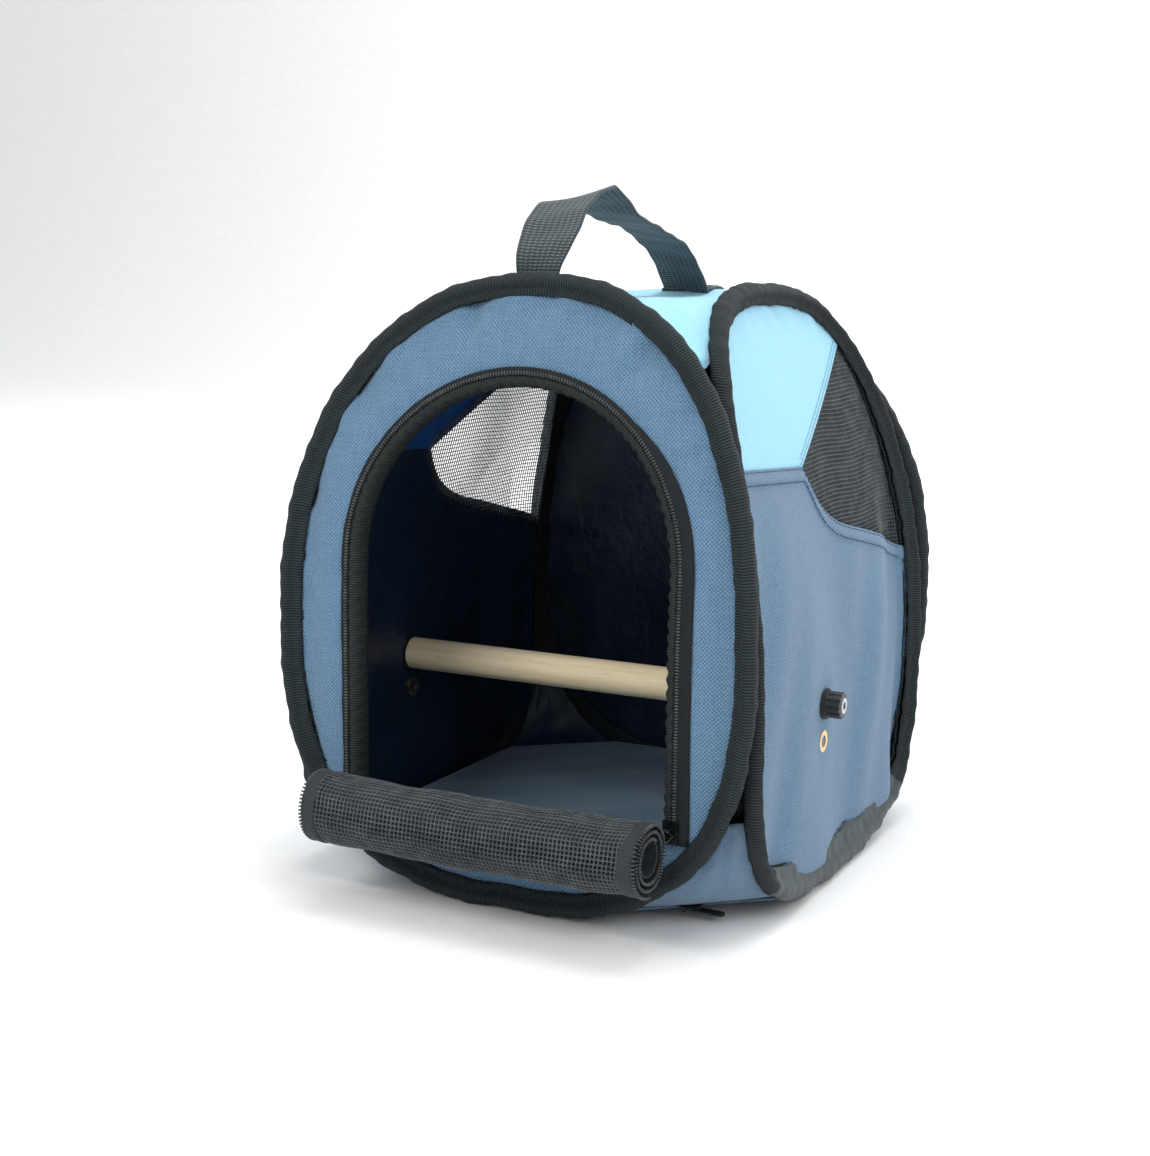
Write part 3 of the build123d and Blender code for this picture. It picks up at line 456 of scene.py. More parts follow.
def by_length(path, step):
    """The path again, with points that far apart."""
    seg = np.linalg.norm(np.diff(path, axis=0), axis=1)
    at = np.concatenate([[0], np.cumsum(seg)])
    count = max(2, int(round(at[-1] / step)) + 1)
    want = np.linspace(0, at[-1], count)
    return np.stack([np.interp(want, at, path[:, k]) for k in range(3)], 1), at[-1]


def stitches(name, paths, normals, mat="thread", long=0.0028, gap=0.0012, thick=0.00042):
    """Rows of thread dashes lying on the cloth along the paths."""
    points, faces, uv = [], [], []
    for path, normal in zip(paths, normals):
        fine = by_length(np.asarray(path, float), (long + gap) / 4)[0]
        up = by_length_of(np.asarray(normal, float), len(fine))
        side = frames_along(fine, up)[1]
        for k in range(0, len(fine) - 4, 4):
            base = len(points)
            for m, lift, wide in ((0, -0.3, 0.25), (1, 0.55, 0.5), (2, 0.55, 0.5), (3, -0.3, 0.25)):
                middle = fine[k] + (fine[k + 3] - fine[k]) * m / 3
                for q in range(6):
                    a = 2 * PI * q / 6
                    high = math.sin(a) * thick * 0.5 + lift * thick * 0.5
                    points.append(middle + side[k] * math.cos(a) * thick * wide * 1.6 + up[k] * high)
            near, far = k * 0.001, k * 0.001 + 0.001
            for m in range(3):
                low = base + m * 6
                for q in range(6):
                    r = (q + 1) % 6
                    faces.append([low + q, low + r, low + 6 + r, low + 6 + q])
                    uv.extend([(near, q * 0.0002), (near, r * 0.0002), (far, r * 0.0002), (far, q * 0.0002)])
            faces.append([base + q for q in reversed(range(6))])
            uv.extend([(0, 0)] * 6)
            faces.append([base + 18 + q for q in range(6)])
            uv.extend([(0, 0)] * 6)
    return mesh_object(name, points, faces, uv, (mat,))


def by_length_of(values, count):
    """Unit vectors, one or several along a path, spread over that many points."""
    if values.ndim == 1:
        values = np.repeat(values[None], 2, 0)
    at = np.linspace(0, 1, len(values))
    want = np.linspace(0, 1, count)
    out = np.stack([np.interp(want, at, values[:, k]) for k in range(3)], 1)
    return out / np.linalg.norm(out, axis=1)[:, None]


def close_middle(obj, longest, outward=False):
    """Fill the holes whose edges are shorter than that; outward also turns the normals out."""
    fill = bmesh.new()
    fill.from_mesh(obj.data)
    edges = [e for e in fill.edges if e.is_boundary and e.calc_length() < longest]
    bmesh.ops.holes_fill(fill, edges=edges, sides=0)
    if outward:
        bmesh.ops.recalc_face_normals(fill, faces=fill.faces[:])
    fill.to_mesh(obj.data)
    fill.free()


def zip_teeth(name, places, section, sides, wide, high, flip=False):
    """Rounded teeth; each place is (centre, axis, across, out), the section (along, width, height)."""
    points, faces = [], []
    for centre, axis, across, out in places:
        base = len(points)
        for a, w, h in section:
            for q in range(sides):
                g = 2 * PI * (q + 0.5) / sides
                lift = out * math.sin(g) * high * h
                points.append(centre + axis * a + across * math.cos(g) * wide * w + lift)
        tooth = []
        for m in range(len(section) - 1):
            low = base + m * sides
            for q in range(sides):
                r = (q + 1) % sides
                tooth.append([low + q, low + r, low + sides + r, low + sides + q])
        tooth.append([base + q for q in reversed(range(sides))])
        tooth.append([base + (len(section) - 1) * sides + q for q in range(sides)])
        faces.extend(face[::-1] if flip else face for face in tooth)
    return mesh_object(name, points, faces, None, ("teeth",))


def bumps(x, *waves):
    """A sum of sines: each wave is (length, height, phase)."""
    return sum(h * np.sin(2 * PI * x / w + p) for w, h, p in waves)


def rise(x, low, high):
    t = np.clip((x - low) / (high - low), 0, 1)
    return t * t * (3 - 2 * t)


def hump(x, at, wide):
    """A smooth hump of height 1 at that place, dying out either side of it."""
    return np.exp(-(((x - at) / wide) ** 2))


def at_shares(path, share):
    """Points at those shares of a path, counted by its points."""
    own = np.linspace(0, 1, len(path))
    return np.stack([np.interp(share, own, path[:, k]) for k in range(path.shape[1])], 1)


# ---------------------------------------------------------------- the bindings round the hoops
BIND_SECTION = [     # (inset, depth): from the inner lip over the outer face and back round to the inside
    (0.0128, 0.0074), (0.0126, 0.0064), (0.0117, 0.0056), (0.0104, 0.0051), (0.0092, 0.0047),
    (0.0082, 0.0040), (0.0073, 0.0026), (0.0062, 0.0015), (0.0048, 0.0010), (0.0034, 0.0013),
    (0.0021, 0.0021), (0.0012, 0.0035), (0.0009, 0.0053), (0.0009, 0.0072), (0.0014, 0.0090),
    (0.0026, 0.0104), (0.0044, 0.0112), (0.0064, 0.0114), (0.0085, 0.0112), (0.0105, 0.0108),
    (0.0125, 0.0102), (0.0132, 0.0096), (0.0132, 0.0088),
]


def binding(side, seed):
    hoop = HOOPS[side]
    count = 620
    u, z, nu, nz, total = hoop.ring(count)
    along = np.arange(count) * total / count
    section = np.array(BIND_SECTION)
    girth = np.concatenate([[0], np.cumsum(np.linalg.norm(np.diff(section, axis=0), axis=1))])
    foot = (1 - rise(z, 0.004, 0.040)) * rise(0.124 - np.abs(u), 0.0, 0.045)
    rows, uvs = [], []
    for k, (inset, depth) in enumerate(section):
        outward = 1 - inset / BIND_W
        pucker = bumps(along, (0.011, 0.00022, seed), (0.0173, 0.0002, seed * 2.0),
            (0.047, 0.0003, seed * 0.7))
        ripple = bumps(along, (0.031, 0.0005, seed * 1.3), (0.083, 0.0006, seed))
        low = 1 - rise(z, 0.02, 0.10)
        i = np.maximum(inset + 0.0004 + pucker * outward * 0.8 + ripple * 0.25 * (1 + 1.5 * low), 0.0)
        d = depth + pucker * (1 if depth < 0.006 else -1) * (0.4 + 0.9 * (1 - outward)) + ripple * 0.4 * low
        d = np.clip(d, 0.0, BIND_T)
        if side == "right":
            i = i * (1 + foot * (0.62 + 0.05 * np.sin(u * 60)))
            d = d + foot * 0.0007 * np.sin(u * 90 + 0.6) * (inset / BIND_W)
        zz = np.maximum(z + i * nz, 0.0)
        rows.append(place(side, u + i * nu, d, zz))
        uvs.append(np.stack([np.append(along, total), np.full(count + 1, girth[k])], -1))
    points = np.array(rows)

    def smooth_foot(i, j):
        """The outer face at the foot of the right binding is worn smooth: the second material."""
        return int(side == "right" and foot[j] > 0.2 and i < 12)

    obj = grid(side + "_binding", points, np.array(uvs), ("binding", "binding_flat"), loop=True,
        flip=side != "left", pick=smooth_foot)
    thicken(obj, 0.0007, False)
    finish_piece(obj, "carrier", "black_binding", side + "_hoop_binding")
    return obj


# ---------------------------------------------------------------- front and back panels
def polar(outline, centre):
    """Distance of a closed outline from the centre as a function of the angle."""
    d = outline - centre
    angle, far = np.arctan2(d[:, 1], d[:, 0]), np.hypot(d[:, 0], d[:, 1])
    order = np.argsort(angle)
    return lambda a: np.interp(a, angle[order], far[order], period=2 * PI)


def door_outline(grow):
    r = DOOR_HALF + grow
    low = DOOR_SILL
    arc = np.linspace(0, PI, 160)
    pts = [np.stack([r * np.cos(arc), ARCH_Z + r * np.sin(arc)], 1)]
    down = np.linspace(ARCH_Z, low, 70)
    pts.append(np.stack([np.full(70, -r), down], 1))
    across = np.linspace(-r, r, 110)
    pts.append(np.stack([across, np.full(110, low)], 1))
    pts.append(np.stack([np.full(70, r), down[::-1]], 1))
    return np.concatenate(pts)


CENTRE = np.array([0.0, 0.150])
FRONT_CREASES = [    # (angle round the doorway, width as an angle, depth)
    (1.11, 0.040, 0.0034), (1.78, 0.030, 0.0026), (0.72, 0.030, 0.0018), (2.25, 0.035, 0.0014),
    (1.45, 0.05, -0.0012),
]


def front_panel():
    corner = math.atan2(DOOR_SILL - CENTRE[1], DOOR_HALF)
    angles = np.unique(np.concatenate([np.linspace(-PI, PI, 361)[:-1], [corner, -PI - corner]]))
    inner = polar(door_outline(0.0015), CENTRE)(angles)
    ru, rz, _, _, _ = FRONT.ring(1200, 0.0105)
    outer = polar(np.stack([ru, rz], 1), CENTRE)(angles)
    shares = np.concatenate([[0, 0.03, 0.07], np.linspace(0.12, 0.88, 15), [0.93, 0.97, 1.0]])
    rows, uvs = [], []
    for s in shares:
        r = inner + (outer - inner) * s
        x, z = CENTRE[0] + r * np.cos(angles), CENTRE[1] + r * np.sin(angles)
        swell = 0.0024 * (1 - (2 * s - 1) ** 2) * rise(z, 0.05, 0.12)
        fold = bumps(angles, (0.23, 0.0008, 0.4), (0.131, 0.00045, 1.1), (0.41, 0.0009, 2.0))
        fold = fold * rise(s, 0.35, 1.0) * rise(z, 0.12, 0.27)
        for at, wide, deep in FRONT_CREASES:
            reach = (rise(s, 0.15, 0.75), 1 - 0.5 * rise(s, 0.85, 1.0))
            fold = fold - deep * hump(angles - at, 0.05 * (1 - s), wide) * reach[0] * reach[1]
        side_fold = 0.0018 * hump(np.abs(x), 0.121, 0.007) * rise(z, 0.03, 0.08) * (1 - rise(z, 0.2, 0.26))
        slanting = (x + 0.02) * 0.8 + (z - 0.305) * 0.6
        crease = 0.0008 * hump(slanting, 0.0, 0.004) * rise(z, 0.285, 0.31)
        d = RECESS - swell - fold + side_fold + crease + 0.0008 * rise(s, 0.9, 1.0)
        rows.append(place("front", x, d, z))
        uvs.append(np.stack([np.append(x, x[0]), np.append(z, z[0])], -1))
    points = np.array(rows)
    obj = grid("front_panel_cloth", points, np.array(uvs), ("slate", "navy"), True, True)
    thicken(obj, CLOTH)
    finish_piece(obj, "carrier", "slate_cloth", "front_panel")


def back_panel():
    angles = np.linspace(-PI, PI, 241)[:-1]
    ru, rz, _, _, _ = BACK.ring(1200, 0.0105)
    outer = polar(np.stack([ru, rz], 1), CENTRE)(angles)
    rows, uvs = [], []
    for s in np.concatenate([[0.004], np.linspace(0.05, 1, 26)]):
        x, z = CENTRE[0] + outer * s * np.cos(angles), CENTRE[1] + outer * s * np.sin(angles)
        sag = bumps(x * 0.8 + z * 0.4, (0.14, 0.0015, 0.3), (0.063, 0.0005, 1.0)) * (1 - s**4)
        fold = bumps(angles, (0.29, 0.0006, 1.2), (0.17, 0.0004, 0.2)) * rise(s, 0.6, 1.0)
        d = RECESS - 0.0022 * (1 - s**2) + sag - fold * (1 - rise(s, 0.97, 1))
        rows.append(place("back", x, d, z))
        uvs.append(np.stack([np.append(x, x[0]), np.append(z, z[0])], -1))
    points = np.array(rows)
    obj = grid("back_panel_cloth", points, np.array(uvs), ("slate", "navy"), True, True)
    close_middle(obj, 0.0002)
    thicken(obj, CLOTH)
    finish_piece(obj, "carrier", "slate_cloth", "back_panel")


# ---------------------------------------------------------------- side walls
def cubic(points, count=80):
    """A smooth curve through the points (y, z), as dense y and z arrays, by chord length."""
    p = np.array(points)
    t = np.concatenate([[0], np.cumsum(np.linalg.norm(np.diff(p, axis=0), axis=1))])
    n = len(t)
    a, b = np.zeros((n, n)), np.zeros((n, 2))
    a[0, 0] = a[-1, -1] = 1
    h = np.diff(t)
    for i in range(1, n - 1):
        a[i, i - 1], a[i, i], a[i, i + 1] = h[i - 1], 2 * (h[i - 1] + h[i]), h[i]
        b[i] = 6 * ((p[i + 1] - p[i]) / h[i] - (p[i] - p[i - 1]) / h[i - 1])
    m = np.linalg.solve(a, b)
    out = []
    for s in np.linspace(0, t[-1], count):
        i = min(np.searchsorted(t, s, side="right") - 1, n - 2)
        l, r = t[i + 1] - s, s - t[i]
        out.append(
            (m[i] * l**3 + m[i + 1] * r**3) / (6 * h[i])
            + (p[i] / h[i] - m[i] * h[i] / 6) * l
            + (p[i + 1] / h[i] - m[i + 1] * h[i] / 6) * r
        )
    return np.array(out)


SILL = cubic(SILL_POINTS)


def seam_front(y):
    """The seam between the light patch and the lower panel, in front of the window."""
    return SEAM_FRONT + (SEAM_CORNER[1] - SEAM_FRONT) * (y + 0.15) / (SEAM_CORNER[0] + 0.15)


def slant(y):
    """The light patch's lower edge over the window, rising to the rear."""
    (y0, z0), (y1, z1) = SEAM_CORNER, PATCH_REAR
    return z0 + (y - y0) * (z1 - z0) / (y1 - y0)


def sill(y):
    return np.interp(y, SILL[:, 0], SILL[:, 1])


def wall_depth(y, z):
    """Depth of the side wall's outer face behind the hoop: tight above, with soft folds below."""
    lower = 1 - rise(z, 0.13, 0.24)
    fold = 0.0030 * np.sin(2 * PI * (y + 0.02 + (z - 0.1) * 0.12) / 0.118) * lower
    from_knob = rise(np.abs(y + 0.02), 0.02, 0.07)
    fold += 0.0014 * np.sin(2 * PI * (y - z * 0.25) / 0.052 + 0.8) * lower * from_knob
    knob = np.exp(-(((y + 0.025) / 0.022) ** 2 + ((z - 0.092) / 0.03) ** 2))
    fold *= 1 - knob
    rear = 0.0025 * rise(y, 0.06, 0.125) * (1 - rise(z, 0.2, 0.28))
    foot = -0.0020 * (1 - rise(z, 0.012, 0.05))
    edge = 1 - rise(np.abs(y), 0.115, 0.130)
    top = bumps(y, (0.033, 0.0005, 0.5), (0.021, 0.0003, 0.1)) * rise(z, 0.285, 0.31)
    return RECESS + (fold + foot) * edge + rear * edge * (1 - knob) + top


def zone(name, side, low, high, start, stop, materials, thick, body_slot, node, hem_top=False,
    depth_extra=0.0, cols=120, rows=44):
    """A wall piece between two curves over the columns start..stop."""
    t = (1 - np.cos(np.linspace(0, PI, cols))) / 2
    y = start + (stop - start) * t
    zl, zh = low(y), high(y)
    zh = np.maximum(zh, zl + 1e-5)
    height = zh - zl
    if hem_top:
        steps = np.array([0.0, 0.0006, 0.0014, 0.003, 0.0052, 0.0070, 0.0078, 0.009, 0.0110])
        down = [step * np.minimum(1, height / 0.02) for step in steps]
        rest = [down[-1] + (height - down[-1]) * s for s in np.linspace(0, 1, rows)[1:]]
        levels = np.array([zh - d for d in down + rest][::-1])
    else:
        levels = np.array([zl + height * s for s in np.linspace(0, 1, rows)])
    yy = np.repeat(y[None], len(levels), 0)
    d = wall_depth(yy, levels) + depth_extra
    if hem_top:
        below = zh[None] - levels
        d -= 0.0008 * (1 - rise(below, 0.0066, 0.0088)) * rise(height[None], 0.01, 0.03)
        d -= 0.0004 * hump(below, 0.0035, 0.0022) * rise(height[None], 0.01, 0.03)
    points = place(side, yy, d, levels)
    uv = np.stack([yy, levels], -1)
    obj = grid(side + "_" + name, points, uv, materials, False, side == "left")
    thicken(obj, thick)
    finish_piece(obj, "carrier", body_slot, node)
    return obj


IN = 0.0105
HALF_IN = SIDE.half - IN


def upper(y):
    return SIDE.edge(y, True, IN)


def lower(y):
    return SIDE.edge(y, False, IN)


def seam_line(y):
    """The lower panel's top edge: the patch seam in front, the window sill behind."""
    return np.where(y < SEAM_CORNER[0], seam_front(y), sill(y))


def patch_low(y):
    return np.where(y < SEAM_CORNER[0], seam_front(y), slant(y)) - 0.0022


def crossing(a, b, lo, hi):
    for _ in range(50):
        mid = (lo + hi) / 2
        if a(np.array([mid]))[0] < b(np.array([mid]))[0]:
            lo = mid
        else:
            hi = mid
    return (lo + hi) / 2


PATCH_REAR_Y = crossing(slant, upper, 0.05, 0.120)


def lattice(name, side, keep, depth, step=MESH_PITCH):
    """Real open mesh: a grid of cells, clipped to the region, then turned into strands."""
    ys = np.arange(-0.14, 0.14, step)
    zs = np.arange(0.14, 0.34, step)
    index, points, cells = {}, [], []

    def vert(i, j):
        if (i, j) not in index:
            index[i, j] = len(points)
            y, z = ys[i], zs[j]
            skew = 0.0006 * math.sin(z * 90) + 0.0004 * math.sin(y * 70)
            points.append((y + skew, z + 0.0005 * math.sin(y * 85)))
        return index[i, j]

    for i in range(len(ys) - 1):
        for j in range(len(zs) - 1):
            if keep(ys[i] + step / 2, zs[j] + step / 2):
                cells.append([vert(i, j), vert(i + 1, j), vert(i + 1, j + 1), vert(i, j + 1)])
    p = np.array(points)
    d = np.full(len(p), depth) + bumps(p[:, 0], (0.09, 0.0012, 0.4)) * 0.6 + 0.0008 * np.sin(p[:, 1] * 60)
    d = np.maximum(np.maximum(d, RECESS + CLOTH + 0.0002), wall_depth(p[:, 0], p[:, 1]) + CLOTH + 0.0004)
    world = place(side, p[:, 0], d, p[:, 1])
    return strands(side + "_" + name, world, cells), len(cells) * step**2


def strands(name, world, cells):
    """Cells of open mesh turned into yarns that meet at every corner."""
    bm = bmesh.new()
    verts = [bm.verts.new((float(x), float(y) + SHIFT_Y, float(z))) for x, y, z in world]
    for cell in cells:
        bm.faces.new([verts[k] for k in cell])
    bm.normal_update()
    bmesh.ops.wireframe(bm, faces=bm.faces[:], thickness=STRAND, offset=0.0, use_replace=True,
        use_boundary=True, use_even_offset=False)
    mesh = bpy.data.meshes.new(name)
    bm.to_mesh(mesh)
    bm.free()
    mesh.materials.append(M["mesh"])
    mesh.polygons.foreach_set("use_smooth", [True] * len(mesh.polygons))
    obj = bpy.data.objects.new(name, mesh)
    bpy.context.scene.collection.objects.link(obj)
    return obj


def window_keep(y, z):
    """Whether the mesh has a cell there: the window and 5 mm behind the cloth round it."""
    if y < SEAM_CORNER[0] - 0.004 or y > HALF_IN + 0.004:
        return False
    in_height = sill(max(y, SEAM_CORNER[0])) - 0.005 < z < min(slant(y) + 0.005, ROOF_Z)
    return in_height and abs(y) < float(SIDE.half_at(z)) - 0.005


def side_walls():
    for side in ("right", "left"):
        zone("lower_cloth", side, lower, lambda y: np.minimum(seam_line(y), upper(y)),
            -HALF_IN + 2e-4, HALF_IN - 2e-4, ("slate", "navy"), CLOTH, "slate_cloth",
            side + "_lower_panel", hem_top=True, cols=170, rows=56)
        zone("patch_cloth", side, lambda y: np.minimum(patch_low(y), upper(y) - 1e-4), upper,
            -0.1235, PATCH_REAR_Y + 0.002, ("sky", "lit_through_lining"), CLOTH, "sky_cloth",
            side + "_light_patch", depth_extra=0.0001, rows=30)
        mesh, area = lattice("window_mesh", side, window_keep, 0.0098)
        finish_piece(mesh, "carrier", "black_mesh", side + "_mesh_window")
        y = np.linspace(-0.118, SEAM_CORNER[0], 60)
        rear = SILL[SILL[:, 0] < 0.1235]
        rows, normals = [], []
        for off in (0.0012, 0.0070):
            yy = np.concatenate([y, rear[1:, 0]])
            zz = np.concatenate([seam_front(y), rear[1:, 1]]) - off * 1.1
            face = wall_depth(yy, zz) - 0.0010
            rows.append(place(side, yy, face, zz))
            lean = place(side, yy, face - 0.001, zz) - rows[-1]
            normals.append(lean)
        for off in (0.0018, 0.0040):
            yy = np.linspace(SEAM_CORNER[0] + 0.001, PATCH_REAR_Y - 0.004, 60)
            zz = slant(yy) - 0.0022 + off * 1.3
            face = wall_depth(yy, zz) - 0.0001
            rows.append(place(side, yy, face, zz))
            normals.append(place(side, yy, face - 0.001, zz) - rows[-1])
        obj = stitches(side + "_seam_stitches", rows[:2], normals[:2])
        finish_piece(obj, "carrier", "slate_cloth")
        obj = stitches(side + "_patch_stitches", rows[2:], normals[2:], "sky_thread")
        finish_piece(obj, "carrier", "sky_cloth")


# ---------------------------------------------------------------- roof
def hoop_arc(side, low, inset, depth, count, cap):
    """Points of a hoop from one side to the other above a height, ordered by u."""
    hoop = HOOPS[side]
    u, z, nu, nz, _ = hoop.ring(2400, inset)
    keep = z >= low
    order = np.argsort(u[keep])
    u, z = u[keep][order], z[keep][order]
    length = np.concatenate([[0], np.cumsum(np.hypot(np.diff(u), np.diff(z)))])
    at = np.linspace(0, length[-1], count)
    u, z = np.interp(at, length, u), np.interp(at, length, z)
    return place(side, u, depth, np.minimum(z, cap)), u


def roof_ridge(y):
    """The fold across the roof, that the handle's rear end is sewn on."""
    return 0.0052 * hump(y, 0.090, 0.016)


def roof():
    n = 61
    front, _ = hoop_arc("front", 0.283, 0.004, 0.0100, n, 0.3185)
    back, _ = hoop_arc("back", 0.283, 0.004, 0.0100, n, 0.3125)
    back = back[::-1]
    right, _ = hoop_arc("right", 0.283, 0.004, 0.0100, n, 0.3165)
    left = right * np.array([-1, 1, 1])
    corners = [(front[0] + left[0]) / 2, (front[-1] + right[0]) / 2, (back[-1] + right[-1]) / 2,
        (back[0] + left[-1]) / 2]
    for arc, a, b in ((front, 0, 1), (right, 1, 2), (back, 3, 2), (left, 0, 3)):
        arc[0], arc[-1] = corners[a], corners[b]
    p = np.zeros((n, n, 3))
    p[0], p[-1], p[:, 0], p[:, -1] = front, back, left, right
    s, t = np.linspace(0, 1, n)[:, None, None], np.linspace(0, 1, n)[None, :, None]
    coons = (1 - s) * front[None] + s * back[None] + (1 - t) * left[:, None] + t * right[:, None]
    coons -= ((1 - s) * (1 - t) * corners[0] + (1 - s) * t * corners[1] + s * t * corners[2]
        + s * (1 - t) * corners[3])
    p[1:-1, 1:-1] = coons[1:-1, 1:-1]
    for _ in range(700):
        p[1:-1, 1:-1] = (p[:-2, 1:-1] + p[2:, 1:-1] + p[1:-1, :-2] + p[1:-1, 2:]) / 4
    x, y = p[..., 0], p[..., 1]
    inside = np.minimum(np.minimum(s[..., 0], 1 - s[..., 0]), np.minimum(t[..., 0], 1 - t[..., 0]))
    level = rise(inside, 0.0, 0.14)
    z = p[..., 2]
    target = ROOF_Z - 0.0012 + 0.0016 * rise(y, 0.0, 0.09)
    z = z + (target - z) * level * 0.9
    taper = np.clip(1 - (np.abs(x) / 0.088) ** 3, 0, 1)
    ridge = roof_ridge(y) * taper * rise(1 - s[..., 0], 0.0, 0.07)
    off_handle = rise(np.abs(x), 0.018, 0.04)
    wrinkle = 0.0006 * np.sin((x * 0.6 + y) * 2 * PI / 0.041) * rise(inside, 0.05, 0.2) * off_handle
    second = 0.0007 * np.sin((x - y * 0.5) * 2 * PI / 0.067 + 1) * rise(inside, 0.03, 0.2) * off_handle
    wrinkle += second
    p[..., 2] = z + ridge + wrinkle
    uv = np.stack([x, y], -1)
    obj = grid("roof_cloth", p, uv, ("sky", "lit_through_lining"), False, False)
    thicken(obj, CLOTH)
    finish_piece(obj, "carrier", "sky_cloth", "roof_panel")
    return p


# ---------------------------------------------------------------- floor, gussets, corner tapes, mat
def corner_lines(z, hoop, inner=False):
    deep, inset = (0.0112, 0.0125) if inner else (0.0098, 0.0035)
    ax, ay = hoop.inner_half(z, inset), -(hoop.reach - hoop.lean_at(z) - deep)
    bx, by = SIDE.reach - SIDE.lean_at(z) - deep, -SIDE.inner_half(z, inset)
    return (np.minimum(ax, bx), ay) if inner else (ax, ay), (bx, by)


def gusset(name, low, high, hoop, front, right, materials, inner, body_slot, puff):
    """One corner strip of cloth, from the end hoop round to the side hoop."""
    rows, cols = 26, 18
    z = np.linspace(low, high, rows)[:, None]
    (ax, ay), (bx, by) = corner_lines(z, hoop, inner)
    t = np.linspace(0, 1, cols)[None]
    x, y = ax + (bx - ax) * t, ay + (by - ay) * t
    nx, ny = -(by - ay), (bx - ax)
    size = np.hypot(nx, ny) + 1e-9
    belly = np.sin(PI * t)
    out = puff * belly * (1 - rise(z, high - 0.012, high))
    wave = 0.0007 * np.sin(2 * PI * (z / 0.019 + t * 0.6)) * belly
    wave = wave + 0.0005 * np.sin(2 * PI * (t * 2.3 + z / 0.05)) * belly
    x, y = x - nx / size * (out + wave), y - ny / size * (out + wave)
    zz = np.repeat(z, cols, 1)
    points = np.stack([x if right else -x, y if front else -y, zz], -1)
    width = size.max()
    uv = np.stack([np.repeat(t, rows, 0) * width, zz], -1)
    obj = grid(name, points, uv, materials, False, right != front)
    thicken(obj, CLOTH * 0.8)
    finish_piece(obj, "carrier", body_slot)
    return obj


def octagon(z, edge, count):
    """The floor's outline at that height, moved in by the edge: a rectangle with cut corners."""
    (ax, ay), (bx, by) = corner_lines(np.array(z), FRONT)
    ax, ay, bx, by = float(ax) - edge / 2, float(ay) + edge, float(bx) - edge, float(by) + edge / 2
    shape = np.array([(ax, ay), (bx, by), (bx, -by), (ax, -ay), (-ax, -ay), (-bx, -by), (-bx, by), (-ax, ay)])
    return np.concatenate([np.linspace(shape[k], shape[(k + 1) % 8], count)[:-1] for k in range(8)])


def floor():
    dense = octagon(FLOOR_Z, 0.0, 30)
    rows, uvs = [], []
    for s in np.concatenate([[0.004], np.linspace(0.06, 1, 22)]):
        q = dense * s
        sag = bumps(q[:, 0] + q[:, 1] * 0.3, (0.083, 0.0007, 0.4), (0.047, 0.0004, 1.4))
        z = FLOOR_Z - 0.0012 + sag * (1 - s**3)
        rows.append(np.stack([q[:, 0], q[:, 1], z], -1))
        uvs.append(np.concatenate([q, q[:1]]))
    points = np.array(rows)
    obj = grid("floor_cloth", points, np.array(uvs), ("slate", "navy"), True, True)
    close_middle(obj, 0.0002)
    thicken(obj, 0.0009)
    finish_piece(obj, "carrier", "slate_cloth", "floor_panel")
    for end, hoop in (("front", FRONT), ("back", BACK)):
        for side in ("right", "left"):
            gusset(f"{end}_{side}_gusset", FLOOR_Z - 0.001, 0.062, hoop, end == "front", side == "right",
                ("slate", "navy"), False, "slate_cloth", 0.0035)
            tape = gusset(f"{end}_{side}_seam_tape", 0.060, 0.286, hoop, end == "front", side == "right",
                ("tape", "tape"), True, "black_binding", 0.0)
            if end == "front" and side == "right":
                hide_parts("corner_seam_tapes")


def mat():
    """The lift-out floor mat: a thin quilted pad in cloth, over the stiff board."""
    low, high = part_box("floor_mat")
    dense = octagon(0.0138, 0.0032, 40)
    thick = high.z - low.z
    rows, uvs = [], []
    top = np.concatenate([[0.004], np.linspace(0.05, 0.96, 34), [0.975, 0.988, 0.996, 1.0]])
    profile = [(s, 1) for s in top] + [(s, -1) for s in (0.996, 0.985, 0.8, 0.4, 0.004)]
    for s, face in profile:
        q = dense * s
        if face > 0:
            puff = thick * (0.5 + 0.5 * (1 - rise(s, 0.965, 1.0)))
            x, y = q[:, 0], q[:, 1]
            dimple = 0.0007 * np.sin(x * 2 * PI / 0.083 + 0.4) * np.sin(y * 2 * PI / 0.071)
            dimple = dimple + 0.0004 * np.sin((x - y) * 2 * PI / 0.05)
            z = low.z + puff + (dimple - 0.0006) * (1 - rise(s, 0.9, 1.0))
        else:
            z = np.full(len(q), low.z + thick * 0.12 * rise(s, 0.98, 1.0))
        rows.append(np.stack([q[:, 0], q[:, 1], z], -1))
        uvs.append(np.concatenate([q, q[:1]]))
    obj = grid("floor_mat_pad", np.array(rows), np.array(uvs), ("mat",), True, False)
    close_middle(obj, math.inf, True)
    finish_piece(obj, "carrier", "slate_cloth", "floor_mat")


# ---------------------------------------------------------------- doorway: jamb, zip tape and teeth
def door_path(grow, step=0.0016, low=DOOR_SILL):
    """The doorway's line from the right sill up over the arch to the left sill, as (x, z)."""
    r = DOOR_HALF + grow
    right = np.stack([np.full(90, r), np.linspace(low, ARCH_Z, 90)], 1)
    arc = np.linspace(0, PI, 200)[1:-1]
    top = np.stack([r * np.cos(arc), ARCH_Z + r * np.sin(arc)], 1)
    path = np.concatenate([right, top, right[::-1] * np.array([-1, 1])])
    seg = np.concatenate([[0], np.cumsum(np.linalg.norm(np.diff(path, axis=0), axis=1))])
    want = np.linspace(0, seg[-1], int(seg[-1] / step) + 1)
    return np.stack([np.interp(want, seg, path[:, 0]), np.interp(want, seg, path[:, 1])], 1), want


JAMB_SECTION = [     # (how far inside the doorway's line, depth), from the zip tape inward
    (0.0002, 0.0074), (0.0014, 0.0069), (0.0031, 0.0074), (0.0045, 0.0090), (0.0053, 0.0115),
    (0.0056, 0.0142), (0.0053, 0.0168),
]


